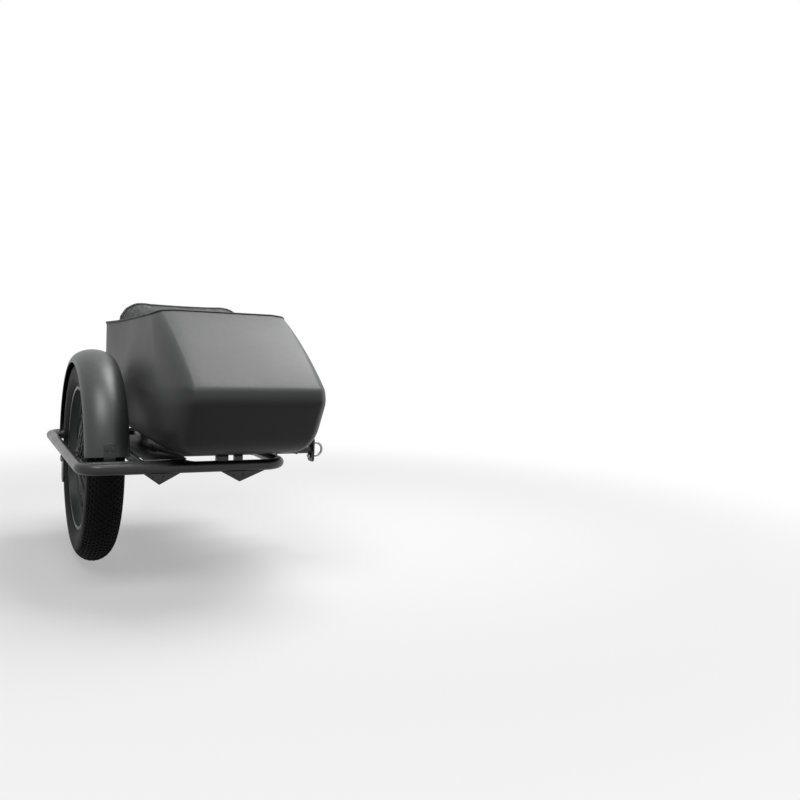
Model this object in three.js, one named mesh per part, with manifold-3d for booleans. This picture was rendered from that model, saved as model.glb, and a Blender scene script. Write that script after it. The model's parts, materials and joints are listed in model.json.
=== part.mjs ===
// Bicycle sidecar: one wheel in a bent tube frame, an open moulded body and a leaning hitch.
// Units are millimetres. +Z is up, the front is -Y and the bicycle stands on the +X side.
// The parts are laid out from the wheel's centre line on the ground, and the whole group is
// then moved so that its origin is the face of the hitch plate that meets the bicycle.
import * as THREE from "three";
import { mergeVertices } from "three/addons/utils/BufferGeometryUtils.js";
import Module from "manifold-3d";

const wasm = await Module();
wasm.setup();

// Clearances and cutting
const seatGap = 0.3;
const overrun = 4;
const weldReach = 0.001;

// How finely round things are cut. The wheel's count is odd, which turns one flat to the ground,
// and the valve stands on that flat.
const tubeSides = 12;
const rodSides = 10;
const hexSides = 6;
const spokeSides = 4;
const bendSteps = 6;
const wheelSteps = 37;
const hubSteps = 20;
const fenderSteps = 20;

// Wheel, 20 x 4.0
const wheelRadius = 300;
const tyreWidth = 100;
const tyreWall = 5;
const beadThickening = 1;
const tyreDepth = 91;
const rimWidth = 80;
const rimWall = 3;
const rimDepth = 18;
const rimWellWidth = 26;
const rimWellDepth = 6;
const spokeCount = 36;
const spokeCrosses = 3;
const spokeRadius = 1.15;
const nippleRadius = 2.4;
const nippleLength = 12;
const spokeHoleOffset = 8;
const flangeRadius = 33;
const flangeThickness = 4;
const flangeSpread = 38;
const hubLength = 124;
const hubCoreRadius = 15;
const hubEndRadius = 18;
const bearingRadius = 13;
const bearingWidth = 8;
const axleRadius = 5;
const axleOverhang = 6;
const axleNutRadius = 9.8;
const axleNutWidth = 5;
const spacerRadius = 8.5;
const valveRadius = 3.2;
const valveLength = 42;
const valveHoleGap = 1;
const spokePhaseShare = 0.25;

// Frame of bent tube
const bumperTubeRadius = 15;
const innerTubeRadius = 12.5;
const frameRise = 26;
const fenderTubeGap = 12;
const frontStepWidth = 52;
const rearStepWidth = 45;
const sideTubeOffset = 77;
const bodyRailInset = 135;
const bikeRailStep = 133;
const outerBend = 48;
const noseBend = 62;
const railBend = 60;
const railReturn = 75;
const dropoutWidth = 40;
const dropoutThickness = 6;
const dropoutDrop = 70;
const stepPlateThickness = 3;
const stepPlateEnd = 118;
const floorPlateRear = 180;
const drainHoleY = -190;
const drainHoleRadius = 9;
const lugDrop = 29;
const lugThickness = 5;
const lugBoltRadius = 5.5;
const lugBoltHead = 5;
const lugBoltSpread = 13;
const outerLugInset = 3;
const outerLugWidth = 93;
const innerLugInset = 48;
const innerLugWidth = 122;
const lugTipShare = 0.42;

// Body shell
const bodyFenderGap = 37;
const bodyHalfWidth = 230;
const bodyLift = 36;
const bodyWall = 4;
const deckSetback = 270;
const deckRise = 379;
const deckNarrowing = 33;
const creaseOverhang = 95;
const creaseRise = 170;
const chinOverhang = 83;
const chinBend = 100;
const creaseBend = 35;
const noseCrown = 15;
const bilgeRadius = 77;
const rearOverhang = 45;
const rearRimRise = 336;
const rearCornerRadius = 38;
const rearBilgeRadius = 38;
const creaseCornerWidth = 68;
const creaseCornerLength = 205;
const deckCornerWidth = 22;
const deckCornerLength = 60;
const rimLiftWidth = 80;
const noseRingSpacing = 45;
const trimGap = 0.6;
const trimWall = 2;
const trimLeg = 4.5;

// Share of the rim's rise that comes evenly from the rear, the rest lifts across the deck's corners
const evenRiseShare = 0.4;
const chinCornerShare = 0.4;

// Power that flattens the nose's corners, where 1 is an ellipse
const noseCornerPower = 1.18;

// Seat
const bearerRise = 21;
const bearerWidth = 24;
const bearerDepth = 25;
const seatBoardThickness = 12;
const seatFrontY = -110;
const bearerSetback = 75;
const seatSideGap = 5;
const cushionThickness = 62;
const cushionSideGap = 14;
const cushionSideShare = 0.62;
const cushionDrawShare = 0.018;
const cushionTopShare = 0.9;
const backrestThickness = 56;
const backrestSideGap = 22;
const backrestHeight = 252;
const backrestSetback = 170;
const backrestLean = 14;
const backrestCorner = 80;
const backBoardThickness = 10;
const backBoardInset = 16;
const backBracketWidth = 30;
const backBracketHeight = 40;
const backBracketInset = 90;
const backBracketRise = 278;
const matThickness = 4;
const matInset = 12;

// Body mounts
const mountWidth = 30;
const narrowMountWidth = 20;
const mountDepth = 24;
const padThickness = 8;
const frontMountInset = 45;
const rearMountSpread = 95;

// Fender
const fenderTyreGap = 18;
const fenderThickness = 2.5;
const fenderHalfWidth = 58;
const fenderLipDrop = 38;
const fenderEndAngle = 8.5;
const fenderBracketWidth = 30;
const fenderBracketThickness = 2.4;
const fenderBracketAngle = 15;
const stayWidth = 20;
const stayThickness = 3;
const stayRise = 290;
const stayKneeDrop = 34;

// Hitch
const hitchPivotStep = 50;
const hitchFrontY = -120;
const hitchRearY = 40;
const hitchFaceStep = 140;
const hitchTieStep = 88;
const eyeRadius = 15;
const eyeWidth = 38;
const pinRadius = 5;
const pinHeadRadius = 9;
const pinHeadWidth = 6;
const clevisThickness = 5;
const clevisHeight = 34;
const axlePlateWidth = 60;
const axlePlateThickness = 6;
const axlePlateHead = 28;
const axlePlateFoot = 36;
const bikeAxleRise = 46;
const bikeAxleRadius = 7;
const clampPlateWidth = 44;
const clampPlateHeight = 76;
const stayTubeRadius = 12;
const clampBoltRadius = 4;
const clampNutRadius = 7.5;
const clampNutWidth = 7;
const clampThread = 10;
const clampBendShare = 0.999;

// Places that follow from the sizes above
const frameHeight = wheelRadius + frameRise;
const bodyBottom = frameHeight + bodyLift;
const deckHeight = bodyBottom + deckRise;
const creaseHeight = bodyBottom + creaseRise;
const rearRimHeight = bodyBottom + rearRimRise;
const backBracketZ = bodyBottom + backBracketRise;
const bikeAxleHeight = frameHeight + bikeAxleRise;
const axlePlateTop = bikeAxleHeight + axlePlateHead;
const axlePlateBottom = frameHeight - axlePlateFoot;
const stayTop = wheelRadius + stayRise;
const bodyX = fenderHalfWidth + bodyFenderGap + bodyHalfWidth;
const bodyRailX = bodyX - bodyRailInset;
const bikeRailX = bodyX + bikeRailStep;
const hitchPivotX = bikeRailX + hitchPivotStep;
const hitchTieX = hitchPivotX + hitchTieStep;
const hitchFaceX = hitchPivotX + hitchFaceStep;
const outerLugX = sideTubeOffset - outerLugInset;
const innerLugX = bodyX - innerLugInset;
const frontMountX = bodyX - frontMountInset;
const frontNarrowMountX = bodyX;
const backBracketSpread = bodyHalfWidth - backBracketInset;
const rimRadius = wheelRadius - tyreDepth;
const fenderRadius = wheelRadius + fenderTyreGap;
const innerTubeReach = fenderRadius + fenderTubeGap;
const frontTubeReach = innerTubeReach + frontStepWidth;
const rearTubeReach = innerTubeReach + rearStepWidth;
const chinY = -frontTubeReach - chinOverhang;
const creaseY = chinY - creaseOverhang;
const deckY = chinY + deckSetback;
const rearY = rearTubeReach + rearOverhang;
const seatRearY = rearY - bearerSetback;
const backrestFootY = rearY - backrestSetback;
const bearerHeight = bodyBottom + bilgeRadius + bearerRise;
const backrestWidth = 2 * (bodyHalfWidth - backrestSideGap);

// Finishes
const finishes = {
  frame: { color: 0x1d1f20, roughness: 0.42, metalness: 0.55 },
  body: { color: 0x4a4c4b, roughness: 0.5, metalness: 0.0 },
  fender: { color: 0x3c3f3f, roughness: 0.45, metalness: 0.0 },
  tyre: { color: 0x161616, roughness: 0.85, metalness: 0.0 },
  rim: { color: 0x202122, roughness: 0.38, metalness: 0.7 },
  alloy: { color: 0x8c8f92, roughness: 0.4, metalness: 0.8 },
  steel: { color: 0x9a9c9e, roughness: 0.35, metalness: 0.9 },
  rubber: { color: 0x151515, roughness: 0.8, metalness: 0.0 },
  vinyl: { color: 0x262727, roughness: 0.6, metalness: 0.0 },
  board: { color: 0x2b2723, roughness: 0.75, metalness: 0.0 },
};

const sidecar = new THREE.Group();
sidecar.position.set(-hitchFaceX, -hitchRearY, -frameHeight);

// Geometry helpers
function closedGeometry(geometry) {
  geometry.deleteAttribute("normal");
  geometry.deleteAttribute("uv");
  const merged = mergeVertices(geometry, weldReach);
  const places = merged.attributes.position;
  const corners = [];
  for (let i = 0; i < merged.index.count; i += 3) {
    const face = [merged.index.getX(i), merged.index.getX(i + 1), merged.index.getX(i + 2)];
    if (new Set(face).size === 3) corners.push(face);
  }
  const [a, b, c] = [new THREE.Vector3(), new THREE.Vector3(), new THREE.Vector3()];
  let volume = 0;
  for (const face of corners) {
    a.fromBufferAttribute(places, face[0]);
    b.fromBufferAttribute(places, face[1]);
    c.fromBufferAttribute(places, face[2]);
    volume += a.dot(b.cross(c));
  }
  const outward = volume < 0 ? corners.map((face) => face.reverse()) : corners;
  merged.setIndex(outward.flat());
  return merged;
}

function solid(geometry) {
  const closed = closedGeometry(geometry);
  return new wasm.Manifold(new wasm.Mesh({
    numProp: 3,
    vertProperties: new Float32Array(closed.attributes.position.array),
    triVerts: new Uint32Array(closed.index.array),
  }));
}

function geometryOf(body) {
  const mesh = body.getMesh();
  const geometry = new THREE.BufferGeometry();
  geometry.setAttribute("position", new THREE.BufferAttribute(new Float32Array(mesh.vertProperties), 3));
  geometry.setIndex(new THREE.BufferAttribute(new Uint32Array(mesh.triVerts), 1));
  geometry.computeVertexNormals();
  return geometry;
}

function add(name, body, finish) {
  const material = new THREE.MeshStandardMaterial({ ...finishes[finish] });
  const mesh = new THREE.Mesh(geometryOf(body), material);
  mesh.name = name;
  sidecar.add(mesh);
}

function at(x, y, z) {
  return new THREE.Vector3(x, y, z);
}

function radians(degrees) {
  return THREE.MathUtils.degToRad(degrees);
}

function boxBetween(low, high) {
  const geometry = new THREE.BoxGeometry(high.x - low.x, high.y - low.y, high.z - low.z);
  const middle = low.clone().add(high).divideScalar(2);
  return solid(geometry.translate(middle.x, middle.y, middle.z));
}

function rod(from, to, radius, sides = tubeSides) {
  const reach = to.clone().sub(from);
  const geometry = new THREE.CylinderGeometry(radius, radius, reach.length(), sides);
  const turn = new THREE.Quaternion().setFromUnitVectors(at(0, 1, 0), reach.clone().normalize());
  const middle = from.clone().add(to).divideScalar(2);
  geometry.applyQuaternion(turn);
  return solid(geometry.translate(middle.x, middle.y, middle.z));
}

// A path of straight runs and round bends, with one station at each end of a run and a few
// round each bend, so a tube along it has long faces where it is straight.
class BentPath extends THREE.Curve {
  constructor(corners, bendRadius, steps = bendSteps) {
    super();
    const last = corners.length - 1;
    const radii = Array.isArray(bendRadius) ? bendRadius : corners.map(() => bendRadius);
    this.stations = [];
    for (let i = 0; i <= last; i++) {
      const corner = corners[i];
      const into = i > 0 ? corner.clone().sub(corners[i - 1]).normalize() : null;
      const out = i < last ? corners[i + 1].clone().sub(corner).normalize() : null;
      if (!into || !out) {
        this.stations.push({ place: corner.clone(), heading: (into || out).clone() });
        continue;
      }
      const turn = into.angleTo(out);
      const radius = radii[i];
      const inward = out.clone().addScaledVector(into, -into.dot(out)).normalize();
      const start = corner.clone().addScaledVector(into, -radius * Math.tan(turn / 2));
      const centre = start.clone().addScaledVector(inward, radius);
      for (let k = 0; k <= steps; k++) {
        const angle = (turn * k) / steps;
        const place = centre.clone().addScaledVector(inward, -radius * Math.cos(angle));
        place.addScaledVector(into, radius * Math.sin(angle));
        const heading = into.clone().multiplyScalar(Math.cos(angle));
        heading.addScaledVector(inward, Math.sin(angle));
        this.stations.push({ place, heading });
      }
    }
  }

  station(share) {
    return this.stations[Math.round(share * (this.stations.length - 1))];
  }

  getPoint(share, target = new THREE.Vector3()) {
    return target.copy(this.station(share).place);
  }

  getPointAt(share, target) {
    return this.getPoint(share, target);
  }

  getTangent(share, target = new THREE.Vector3()) {
    return target.copy(this.station(share).heading);
  }

  getTangentAt(share, target) {
    return this.getTangent(share, target);
  }
}

function roundSection(radius, sides) {
  const corners = [];
  for (let i = 0; i < sides; i++) {
    const angle = (2 * Math.PI * i) / sides;
    corners.push(new THREE.Vector2(radius * Math.cos(angle), radius * Math.sin(angle)));
  }
  return new THREE.Shape(corners);
}

function bentTube(corners, radius, bendRadius, sides = tubeSides) {
  const extrudePath = new BentPath(corners, bendRadius);
  const steps = extrudePath.stations.length - 1;
  return solid(new THREE.ExtrudeGeometry(roundSection(radius, sides), { steps, extrudePath }));
}

// A flat plate: the outline lies across the given axis, and the plate starts at the given place
// on that axis and grows along it.
function plate(outline, axis, start, thickness) {
  const depth = thickness;
  const geometry = new THREE.ExtrudeGeometry(outline, { depth, bevelEnabled: false, curveSegments: bendSteps });
  const bases = {
    x: [at(0, 1, 0), at(0, 0, 1), at(1, 0, 0)],
    y: [at(-1, 0, 0), at(0, 0, 1), at(0, 1, 0)],
    z: [at(1, 0, 0), at(0, 1, 0), at(0, 0, 1)],
  };
  geometry.applyMatrix4(new THREE.Matrix4().makeBasis(...bases[axis]));
  const move = at(0, 0, 0);
  move[axis] = start;
  return solid(geometry.translate(move.x, move.y, move.z));
}

function outlineOf(points) {
  return new THREE.Shape(points.map(([across, up]) => new THREE.Vector2(across, up)));
}

// For plates across Y, whose outline is seen from behind, so that X runs the other way
function outlineAcrossY(points) {
  return outlineOf(points.map(([x, z]) => [-x, z]));
}

function roundedRectangle(left, bottom, width, height, radius) {
  const shape = new THREE.Shape();
  const right = left + width;
  const top = bottom + height;
  shape.moveTo(left + radius, bottom);
  shape.lineTo(right - radius, bottom);
  shape.absarc(right - radius, bottom + radius, radius, -Math.PI / 2, 0);
  shape.lineTo(right, top - radius);
  shape.absarc(right - radius, top - radius, radius, 0, Math.PI / 2);
  shape.lineTo(left + radius, top);
  shape.absarc(left + radius, top - radius, radius, Math.PI / 2, Math.PI);
  shape.lineTo(left, bottom + radius);
  shape.absarc(left + radius, bottom + radius, radius, Math.PI, 1.5 * Math.PI);
  return shape;
}

// A solid of revolution about the wheel's axle: each point is [place along X, radius]
function revolved(profile, steps) {
  const points = [...profile, profile[0]].map(([x, radius]) => new THREE.Vector2(radius, x));
  const geometry = new THREE.LatheGeometry(points, steps);
  geometry.rotateZ(-Math.PI / 2);
  return solid(geometry.translate(0, 0, wheelRadius));
}

function arcPoints(radius, centre, fromAngle, toAngle, steps) {
  const points = [];
  for (let k = 0; k <= steps; k++) {
    const angle = fromAngle + ((toAngle - fromAngle) * k) / steps;
    points.push([radius * Math.sin(angle), centre + radius * Math.cos(angle)]);
  }
  return points;
}

// Triangles over a flat outline, turned the way the outline runs
function capFaces(outline) {
  const faces = THREE.ShapeUtils.triangulateShape(outline, []);
  return THREE.ShapeUtils.isClockWise(outline) ? faces.map(([a, b, c]) => [a, c, b]) : faces;
}

// Joins rings of equal point counts into one closed body, with the caps on its two end rings
function lofted(rings, closedLoop, caps = []) {
  const count = rings[0].length;
  const places = rings.flat().flatMap((point) => point.toArray());
  const index = [];
  const bands = closedLoop ? rings.length : rings.length - 1;
  for (let i = 0; i < bands; i++) {
    const here = i * count;
    const next = ((i + 1) % rings.length) * count;
    for (let j = 0; j < count; j++) {
      const k = (j + 1) % count;
      index.push(here + j, next + j, next + k, here + j, next + k, here + k);
    }
  }
  const lastRing = (rings.length - 1) * count;
  for (const [a, b, c] of caps) {
    index.push(a, b, c);
    index.push(lastRing + a, lastRing + c, lastRing + b);
  }
  const geometry = new THREE.BufferGeometry();
  geometry.setAttribute("position", new THREE.Float32BufferAttribute(places, 3));
  geometry.setIndex(index);
  return geometry;
}

// Wheel
const sectionRadius = tyreWidth / 2;
const sectionCentre = wheelRadius - sectionRadius;
const beadHalf = rimWidth / 2 - rimWall - seatGap;
const beadWall = tyreWall + beadThickening;
const rimSeat = rimRadius - rimWall - rimWellDepth / 2;
const tyreCasingRadius = sectionRadius - tyreWall;
const casingSteps = 8;

function casingAngle() {
  return Math.PI - Math.asin((beadHalf - beadWall) / tyreCasingRadius);
}

function makeTyre() {
  const outerAngle = Math.PI - Math.asin(beadHalf / sectionRadius);
  const outer = arcPoints(sectionRadius, sectionCentre, outerAngle, -outerAngle, casingSteps * 2);
  const inner = arcPoints(tyreCasingRadius, sectionCentre, -casingAngle(), casingAngle(), casingSteps);
  const beadFoot = rimSeat + seatGap;
  const feet = [[-beadHalf, beadFoot], [beadWall - beadHalf, beadFoot]];
  const profile = [...outer, ...feet, ...inner, [beadHalf - beadWall, beadFoot], [beadHalf, beadFoot]];
  add("tyre", revolved(profile, wheelSteps), "tyre");
}

function makeInnerTube() {
  const radius = tyreCasingRadius - seatGap;
  const casing = arcPoints(radius, sectionCentre, -casingAngle(), casingAngle(), casingSteps);
  const sole = arcPoints(radius, sectionCentre, casingAngle(), 2 * Math.PI - casingAngle(), casingSteps / 2);
  add("inner_tube", revolved([...casing, ...sole.slice(1, -1)], wheelSteps), "rubber");
}

const rimBed = rimRadius - rimDepth;

function makeRim() {
  const half = rimWidth / 2;
  const wellHalf = rimWellWidth / 2;
  const wellTop = rimSeat - rimWellDepth;
  const side = [
    [half, rimRadius],
    [half - rimWall, rimRadius],
    [half - rimWall, rimSeat],
    [wellHalf + rimWall, rimSeat - rimWall / 3],
    [wellHalf, wellTop],
  ];
  const underside = [
    [half, rimSeat - rimWall],
    [wellHalf + rimWall, rimSeat - 2 * rimWall],
    [wellHalf, rimBed],
  ];
  const mirrored = (points) => points.map(([x, radius]) => [-x, radius]).reverse();
  const profile = [...side, ...mirrored(side), ...mirrored(underside).reverse(), ...underside.reverse()];
  const ring = revolved(profile, wheelSteps);
  const hole = rod(valvePoint(rimBed - overrun), valvePoint(rimRadius), valveRadius + valveHoleGap, rodSides);
  add("rim", ring.subtract(hole), "rim");
}

function wheelPoint(x, radius, angle) {
  return at(x, radius * Math.cos(angle), wheelRadius + radius * Math.sin(angle));
}

function valvePoint(radius) {
  return wheelPoint(0, radius, -Math.PI / 2);
}

function makeValve() {
  const top = (sectionCentre - tyreCasingRadius) * Math.cos(Math.PI / wheelSteps) - seatGap;
  const stem = rod(valvePoint(top - valveLength), valvePoint(top), valveRadius, rodSides);
  add("valve", stem, "steel");
}

function makeHub() {
  const end = hubLength / 2;
  const seat = end - bearingWidth - 2 * seatGap;
  const bore = bearingRadius + seatGap;
  const slope = flangeThickness;
  const outside = [
    [flangeSpread - 2 * slope, hubCoreRadius],
    [flangeSpread - slope, hubEndRadius],
    [flangeSpread - slope / 2, flangeRadius],
    [flangeSpread + slope / 2, flangeRadius],
    [flangeSpread + slope, hubEndRadius],
    [end, hubEndRadius],
  ];
  const inside = [
    [end, bore],
    [seat, bore],
    [seat, axleRadius + slope],
  ];
  const half = [...outside, ...inside];
  const mirrored = half.map(([x, radius]) => [-x, radius]).reverse();
  let hub = revolved([...half, ...mirrored], hubSteps);
  const perSide = spokeCount / 2;
  const pitch = (2 * Math.PI) / perSide;
  const rimEnd = rimBed + spokeRadius;
  for (let i = 0; i < spokeCount; i++) {
    const side = i < perSide ? 1 : -1;
    const lead = i % 2 === 0 ? 1 : -1;
    const start = (i + spokePhaseShare) * pitch + (side < 0 ? pitch / 2 : 0);
    const finish = start + lead * spokeCrosses * pitch;
    const root = wheelPoint(side * (flangeSpread + lead * spokeRadius), flangeRadius - flangeThickness, start);
    const tip = wheelPoint(side * spokeHoleOffset, rimEnd, finish);
    const back = root.clone().sub(tip).normalize();
    const collar = tip.clone().addScaledVector(back, nippleLength);
    hub = hub.add(rod(root, tip, spokeRadius, spokeSides)).add(rod(collar, tip, nippleRadius, spokeSides));
  }
  const insideRim = alongAxle(-hubLength, hubLength, rimBed - seatGap, wheelSteps);
  add("hub_and_spokes", hub.intersect(insideRim), "steel");
}

function makeBearing(name, side) {
  const centre = side * (hubLength / 2 - bearingWidth / 2 - seatGap);
  const half = bearingWidth / 2;
  const bore = axleRadius + seatGap;
  const profile = [
    [centre - half, bore],
    [centre + half, bore],
    [centre + half, bearingRadius],
    [centre - half, bearingRadius],
  ];
  add(name, revolved(profile, hubSteps), "steel");
}

function alongAxle(from, to, radius, sides) {
  return rod(at(from, 0, wheelRadius), at(to, 0, wheelRadius), radius, sides);
}

function makeAxle() {
  const dropoutFace = sideTubeOffset + dropoutThickness / 2;
  const end = dropoutFace + axleOverhang;
  add("axle", alongAxle(-end, end, axleRadius, rodSides), "steel");
  const bore = alongAxle(-end - overrun, end + overrun, axleRadius + seatGap, rodSides);
  const nutStart = dropoutFace + seatGap;
  const spacerStart = hubLength / 2 - bearingWidth / 2;
  const innerFace = sideTubeOffset - dropoutThickness / 2 - seatGap;
  for (const [side, word] of [[-1, "outer"], [1, "inner"]]) {
    const nut = alongAxle(side * nutStart, side * (nutStart + axleNutWidth), axleNutRadius, hexSides);
    add(`axle_nut_${word}`, nut.subtract(bore), "steel");
    const spacerFrom = spacerStart + bearingWidth / 2 + seatGap;
    const spacer = alongAxle(side * spacerFrom, side * innerFace, spacerRadius, rodSides);
    add(`axle_spacer_${word}`, spacer.subtract(bore), "alloy");
    makeBearing(`bearing_${word}`, side);
  }
}

// Frame
function coped(tube, ...cutters) {
  return cutters.reduce((rest, cutter) => rest.subtract(cutter), tube);
}

function largest(body) {
  return body.decompose().sort((a, b) => b.volume() - a.volume())[0];
}

function alongX(x0, x1, y, radius) {
  return rod(at(x0, y, frameHeight), at(x1, y, frameHeight), radius);
}

function alongY(x, y0, y1, radius) {
  return rod(at(x, y0, frameHeight), at(x, y1, frameHeight), radius);
}

function bumperTube(side, radius) {
  const reach = side < 0 ? frontTubeReach : rearTubeReach;
  const middle = (side * seatGap) / 2;
  const corners = [
    at(-sideTubeOffset, middle, frameHeight),
    at(-sideTubeOffset, side * reach, frameHeight),
    at(bikeRailX, side * reach, frameHeight),
    at(bikeRailX, middle, frameHeight),
  ];
  return bentTube(corners, radius, [0, outerBend, noseBend, 0]);
}

function bodyRailTube(radius) {
  const front = -frontTubeReach;
  const rear = rearTubeReach;
  const corners = [
    at(bodyRailX + railReturn, front, frameHeight),
    at(bodyRailX, front, frameHeight),
    at(bodyRailX, rear, frameHeight),
    at(bodyRailX + railReturn, rear, frameHeight),
  ];
  return bentTube(corners, radius, railBend);
}

const bumperCuts = [-1, 1].map((side) => bumperTube(side, bumperTubeRadius + seatGap));
const bodyRailCut = bodyRailTube(innerTubeRadius + seatGap);

function sideTubeCutter(x, radius) {
  return alongY(x, -frontTubeReach, frontTubeReach, radius + seatGap);
}

function makeRails() {
  add("front_bumper_tube", bumperTube(-1, bumperTubeRadius), "frame");
  add("rear_bumper_tube", bumperTube(1, bumperTubeRadius), "frame");
  add("body_rail", largest(coped(bodyRailTube(innerTubeRadius), ...bumperCuts)), "frame");
  for (const [word, side] of [["front", -1], ["rear", 1]]) {
    const tube = alongX(-sideTubeOffset, bodyRailX, side * innerTubeReach, innerTubeRadius);
    add(`${word}_inner_tube`, largest(coped(tube, ...bumperCuts, bodyRailCut)), "frame");
  }
  const reach = innerTubeReach;
  const crossCuts = [-reach, reach].map((y) => alongX(-sideTubeOffset, bodyRailX, y, innerTubeRadius + seatGap));
  const rail = alongY(sideTubeOffset, -reach, reach, innerTubeRadius);
  add("wheel_rail", coped(rail, ...crossCuts), "frame");
}

function makeCrossTubes() {
  const wheelCut = sideTubeCutter(sideTubeOffset, innerTubeRadius);
  const bodyCut = sideTubeCutter(bodyRailX, innerTubeRadius);
  const bikeCut = sideTubeCutter(bikeRailX, bumperTubeRadius);
  for (const [word, y] of [["front", hitchFrontY], ["rear", hitchRearY]]) {
    const stub = alongX(sideTubeOffset, bodyRailX, y, innerTubeRadius);
    add(`stub_tube_${word}`, coped(stub, wheelCut, bodyCut), "frame");
    const cross = alongX(bodyRailX, bikeRailX, y, innerTubeRadius);
    add(`cross_tube_${word}`, coped(cross, bodyCut, bikeCut), "frame");
  }
}

function makeStepPlate() {
  const left = -sideTubeOffset;
  const front = -frontTubeReach;
  const middle = frameHeight - stepPlateThickness / 2;
  const low = at(left, front, middle);
  const high = at(stepPlateEnd, -innerTubeReach, middle + stepPlateThickness);
  const rearCut = alongX(left - overrun, stepPlateEnd + overrun, -innerTubeReach, innerTubeRadius + seatGap);
  add("step_plate", largest(coped(boxBetween(low, high), ...bumperCuts, rearCut)), "frame");
}

// A floor sheet lies on the rails between the wheel and the body, with a drain hole in it
function makeFloorPlate() {
  const bottom = frameHeight + innerTubeRadius + seatGap;
  const left = sideTubeOffset + innerTubeRadius / 2;
  const right = bodyRailX + innerTubeRadius / 2;
  const low = at(left, -innerTubeReach, bottom);
  const high = at(right, floorPlateRear, bottom + stepPlateThickness);
  const holeX = (left + right) / 2;
  const holeTop = at(holeX, drainHoleY, bottom + overrun * stepPlateThickness);
  const hole = rod(at(holeX, drainHoleY, bottom - overrun), holeTop, drainHoleRadius);
  add("floor_plate", coped(boxBetween(low, high), hole), "frame");
}

function makeDropouts() {
  const half = dropoutWidth / 2;
  const bottom = wheelRadius - dropoutDrop + half;
  for (const [word, side, radius] of [["outer", -1, bumperTubeRadius], ["inner", 1, innerTubeRadius]]) {
    const outline = new THREE.Shape();
    outline.moveTo(-half, frameHeight);
    outline.lineTo(-half, bottom);
    outline.absarc(0, bottom, half, Math.PI, 2 * Math.PI);
    outline.lineTo(half, frameHeight);
    const x = side * sideTubeOffset;
    const blank = plate(outline, "x", x - dropoutThickness / 2, dropoutThickness);
    const tube = sideTubeCutter(x, radius);
    const hole = alongAxle(x - dropoutWidth, x + dropoutWidth, axleRadius + seatGap, rodSides);
    add(`${word}_dropout`, coped(blank, tube, hole), "frame");
  }
}

function makeLug(name, x, width) {
  const top = frameHeight;
  const tip = frameHeight - bumperTubeRadius - lugDrop;
  const tipX = x + width * lugTipShare;
  const outline = outlineAcrossY([[x, top - bumperTubeRadius], [tipX, tip], [x + width, top - bumperTubeRadius],
    [x + width, top], [x, top]]);
  const y = -frontTubeReach;
  let lug = plate(outline, "y", y - lugThickness / 2, lugThickness);
  lug = largest(coped(lug, ...bumperCuts));
  const boltZ = tip + lugDrop * (1 - lugTipShare);
  const face = y - lugThickness / 2;
  for (const side of [-1, 1]) {
    const boltX = tipX + side * lugBoltSpread;
    const head = rod(at(boltX, face, boltZ), at(boltX, face - lugBoltHead, boltZ), lugBoltRadius, hexSides);
    const stem = rod(at(boltX, y, boltZ), at(boltX, face - lugBoltHead / 2, boltZ), lugBoltRadius / 2, hexSides);
    lug = lug.add(head).add(stem);
  }
  add(name, lug, "frame");
}

// Body shell, lofted upwards from its flat bottom along the nose's side profile
function noseProfile() {
  const corners = [
    at(0, deckY, bodyBottom),
    at(0, chinY, bodyBottom),
    at(0, creaseY, creaseHeight),
    at(0, deckY, deckHeight),
  ];
  const bends = new BentPath(corners, [0, chinBend, creaseBend, 0], 5).stations;
  const stations = bends.slice(1).map(({ place }) => place);
  const split = [];
  for (let i = 0; i < stations.length; i++) {
    split.push(stations[i]);
    const next = stations[i + 1];
    const rise = next ? next.z - stations[i].z : 0;
    const extra = Math.floor(rise / noseRingSpacing);
    for (let k = 1; k <= extra; k++) {
      split.push(stations[i].clone().lerp(next, k / (extra + 1)));
    }
  }
  const rim = split.pop();
  const below = split[split.length - 1];
  const underTrim = rim.clone().lerp(below, (2 * trimLeg) / rim.distanceTo(below));
  const slope = corners[3].clone().sub(corners[2]);
  const outward = at(0, -slope.z, slope.y).normalize();
  return [...split, underTrim, rim].map((place) => {
    const share = deckShare(place.z);
    return place.addScaledVector(outward, noseCrown * 4 * share * (1 - share));
  });
}

// How far a height lies up the nose's sloping panel
function deckShare(height) {
  return THREE.MathUtils.clamp((height - creaseHeight) / (deckHeight - creaseHeight), 0, 1);
}

// Height of the rim at a place counted sideways from the body's middle
function rimRise(x, y) {
  const share = THREE.MathUtils.clamp((rearY - y) / (rearY - deckY), 0, 1);
  const inward = THREE.MathUtils.clamp((bodyHalfWidth - Math.abs(x)) / rimLiftWidth, 0, 1);
  const lift = (1 - evenRiseShare) * Math.sin((Math.PI / 2) * inward);
  return rearRimHeight + (deckHeight - rearRimHeight) * share * (evenRiseShare + lift);
}

function quarterInset(radius, height) {
  const below = Math.max(0, radius - height);
  return radius - Math.sqrt(radius ** 2 - below ** 2);
}

function flattened(value, power) {
  return Math.sign(value) * Math.abs(value) ** power;
}

function ellipseCorner(centreX, centreY, width, length, fromAngle, steps, power = 1) {
  const points = [];
  for (let k = 0; k <= steps; k++) {
    const angle = fromAngle + (Math.PI / 2) * (k / steps);
    const across = width * flattened(Math.cos(angle), power);
    const forward = length * flattened(Math.sin(angle), power);
    points.push([centreX + across, centreY + forward]);
  }
  return points;
}

function along(from, to, steps) {
  const points = [];
  for (let k = 1; k < steps; k++) {
    points.push([from[0] + ((to[0] - from[0]) * k) / steps, from[1] + ((to[1] - from[1]) * k) / steps]);
  }
  return points;
}

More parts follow.
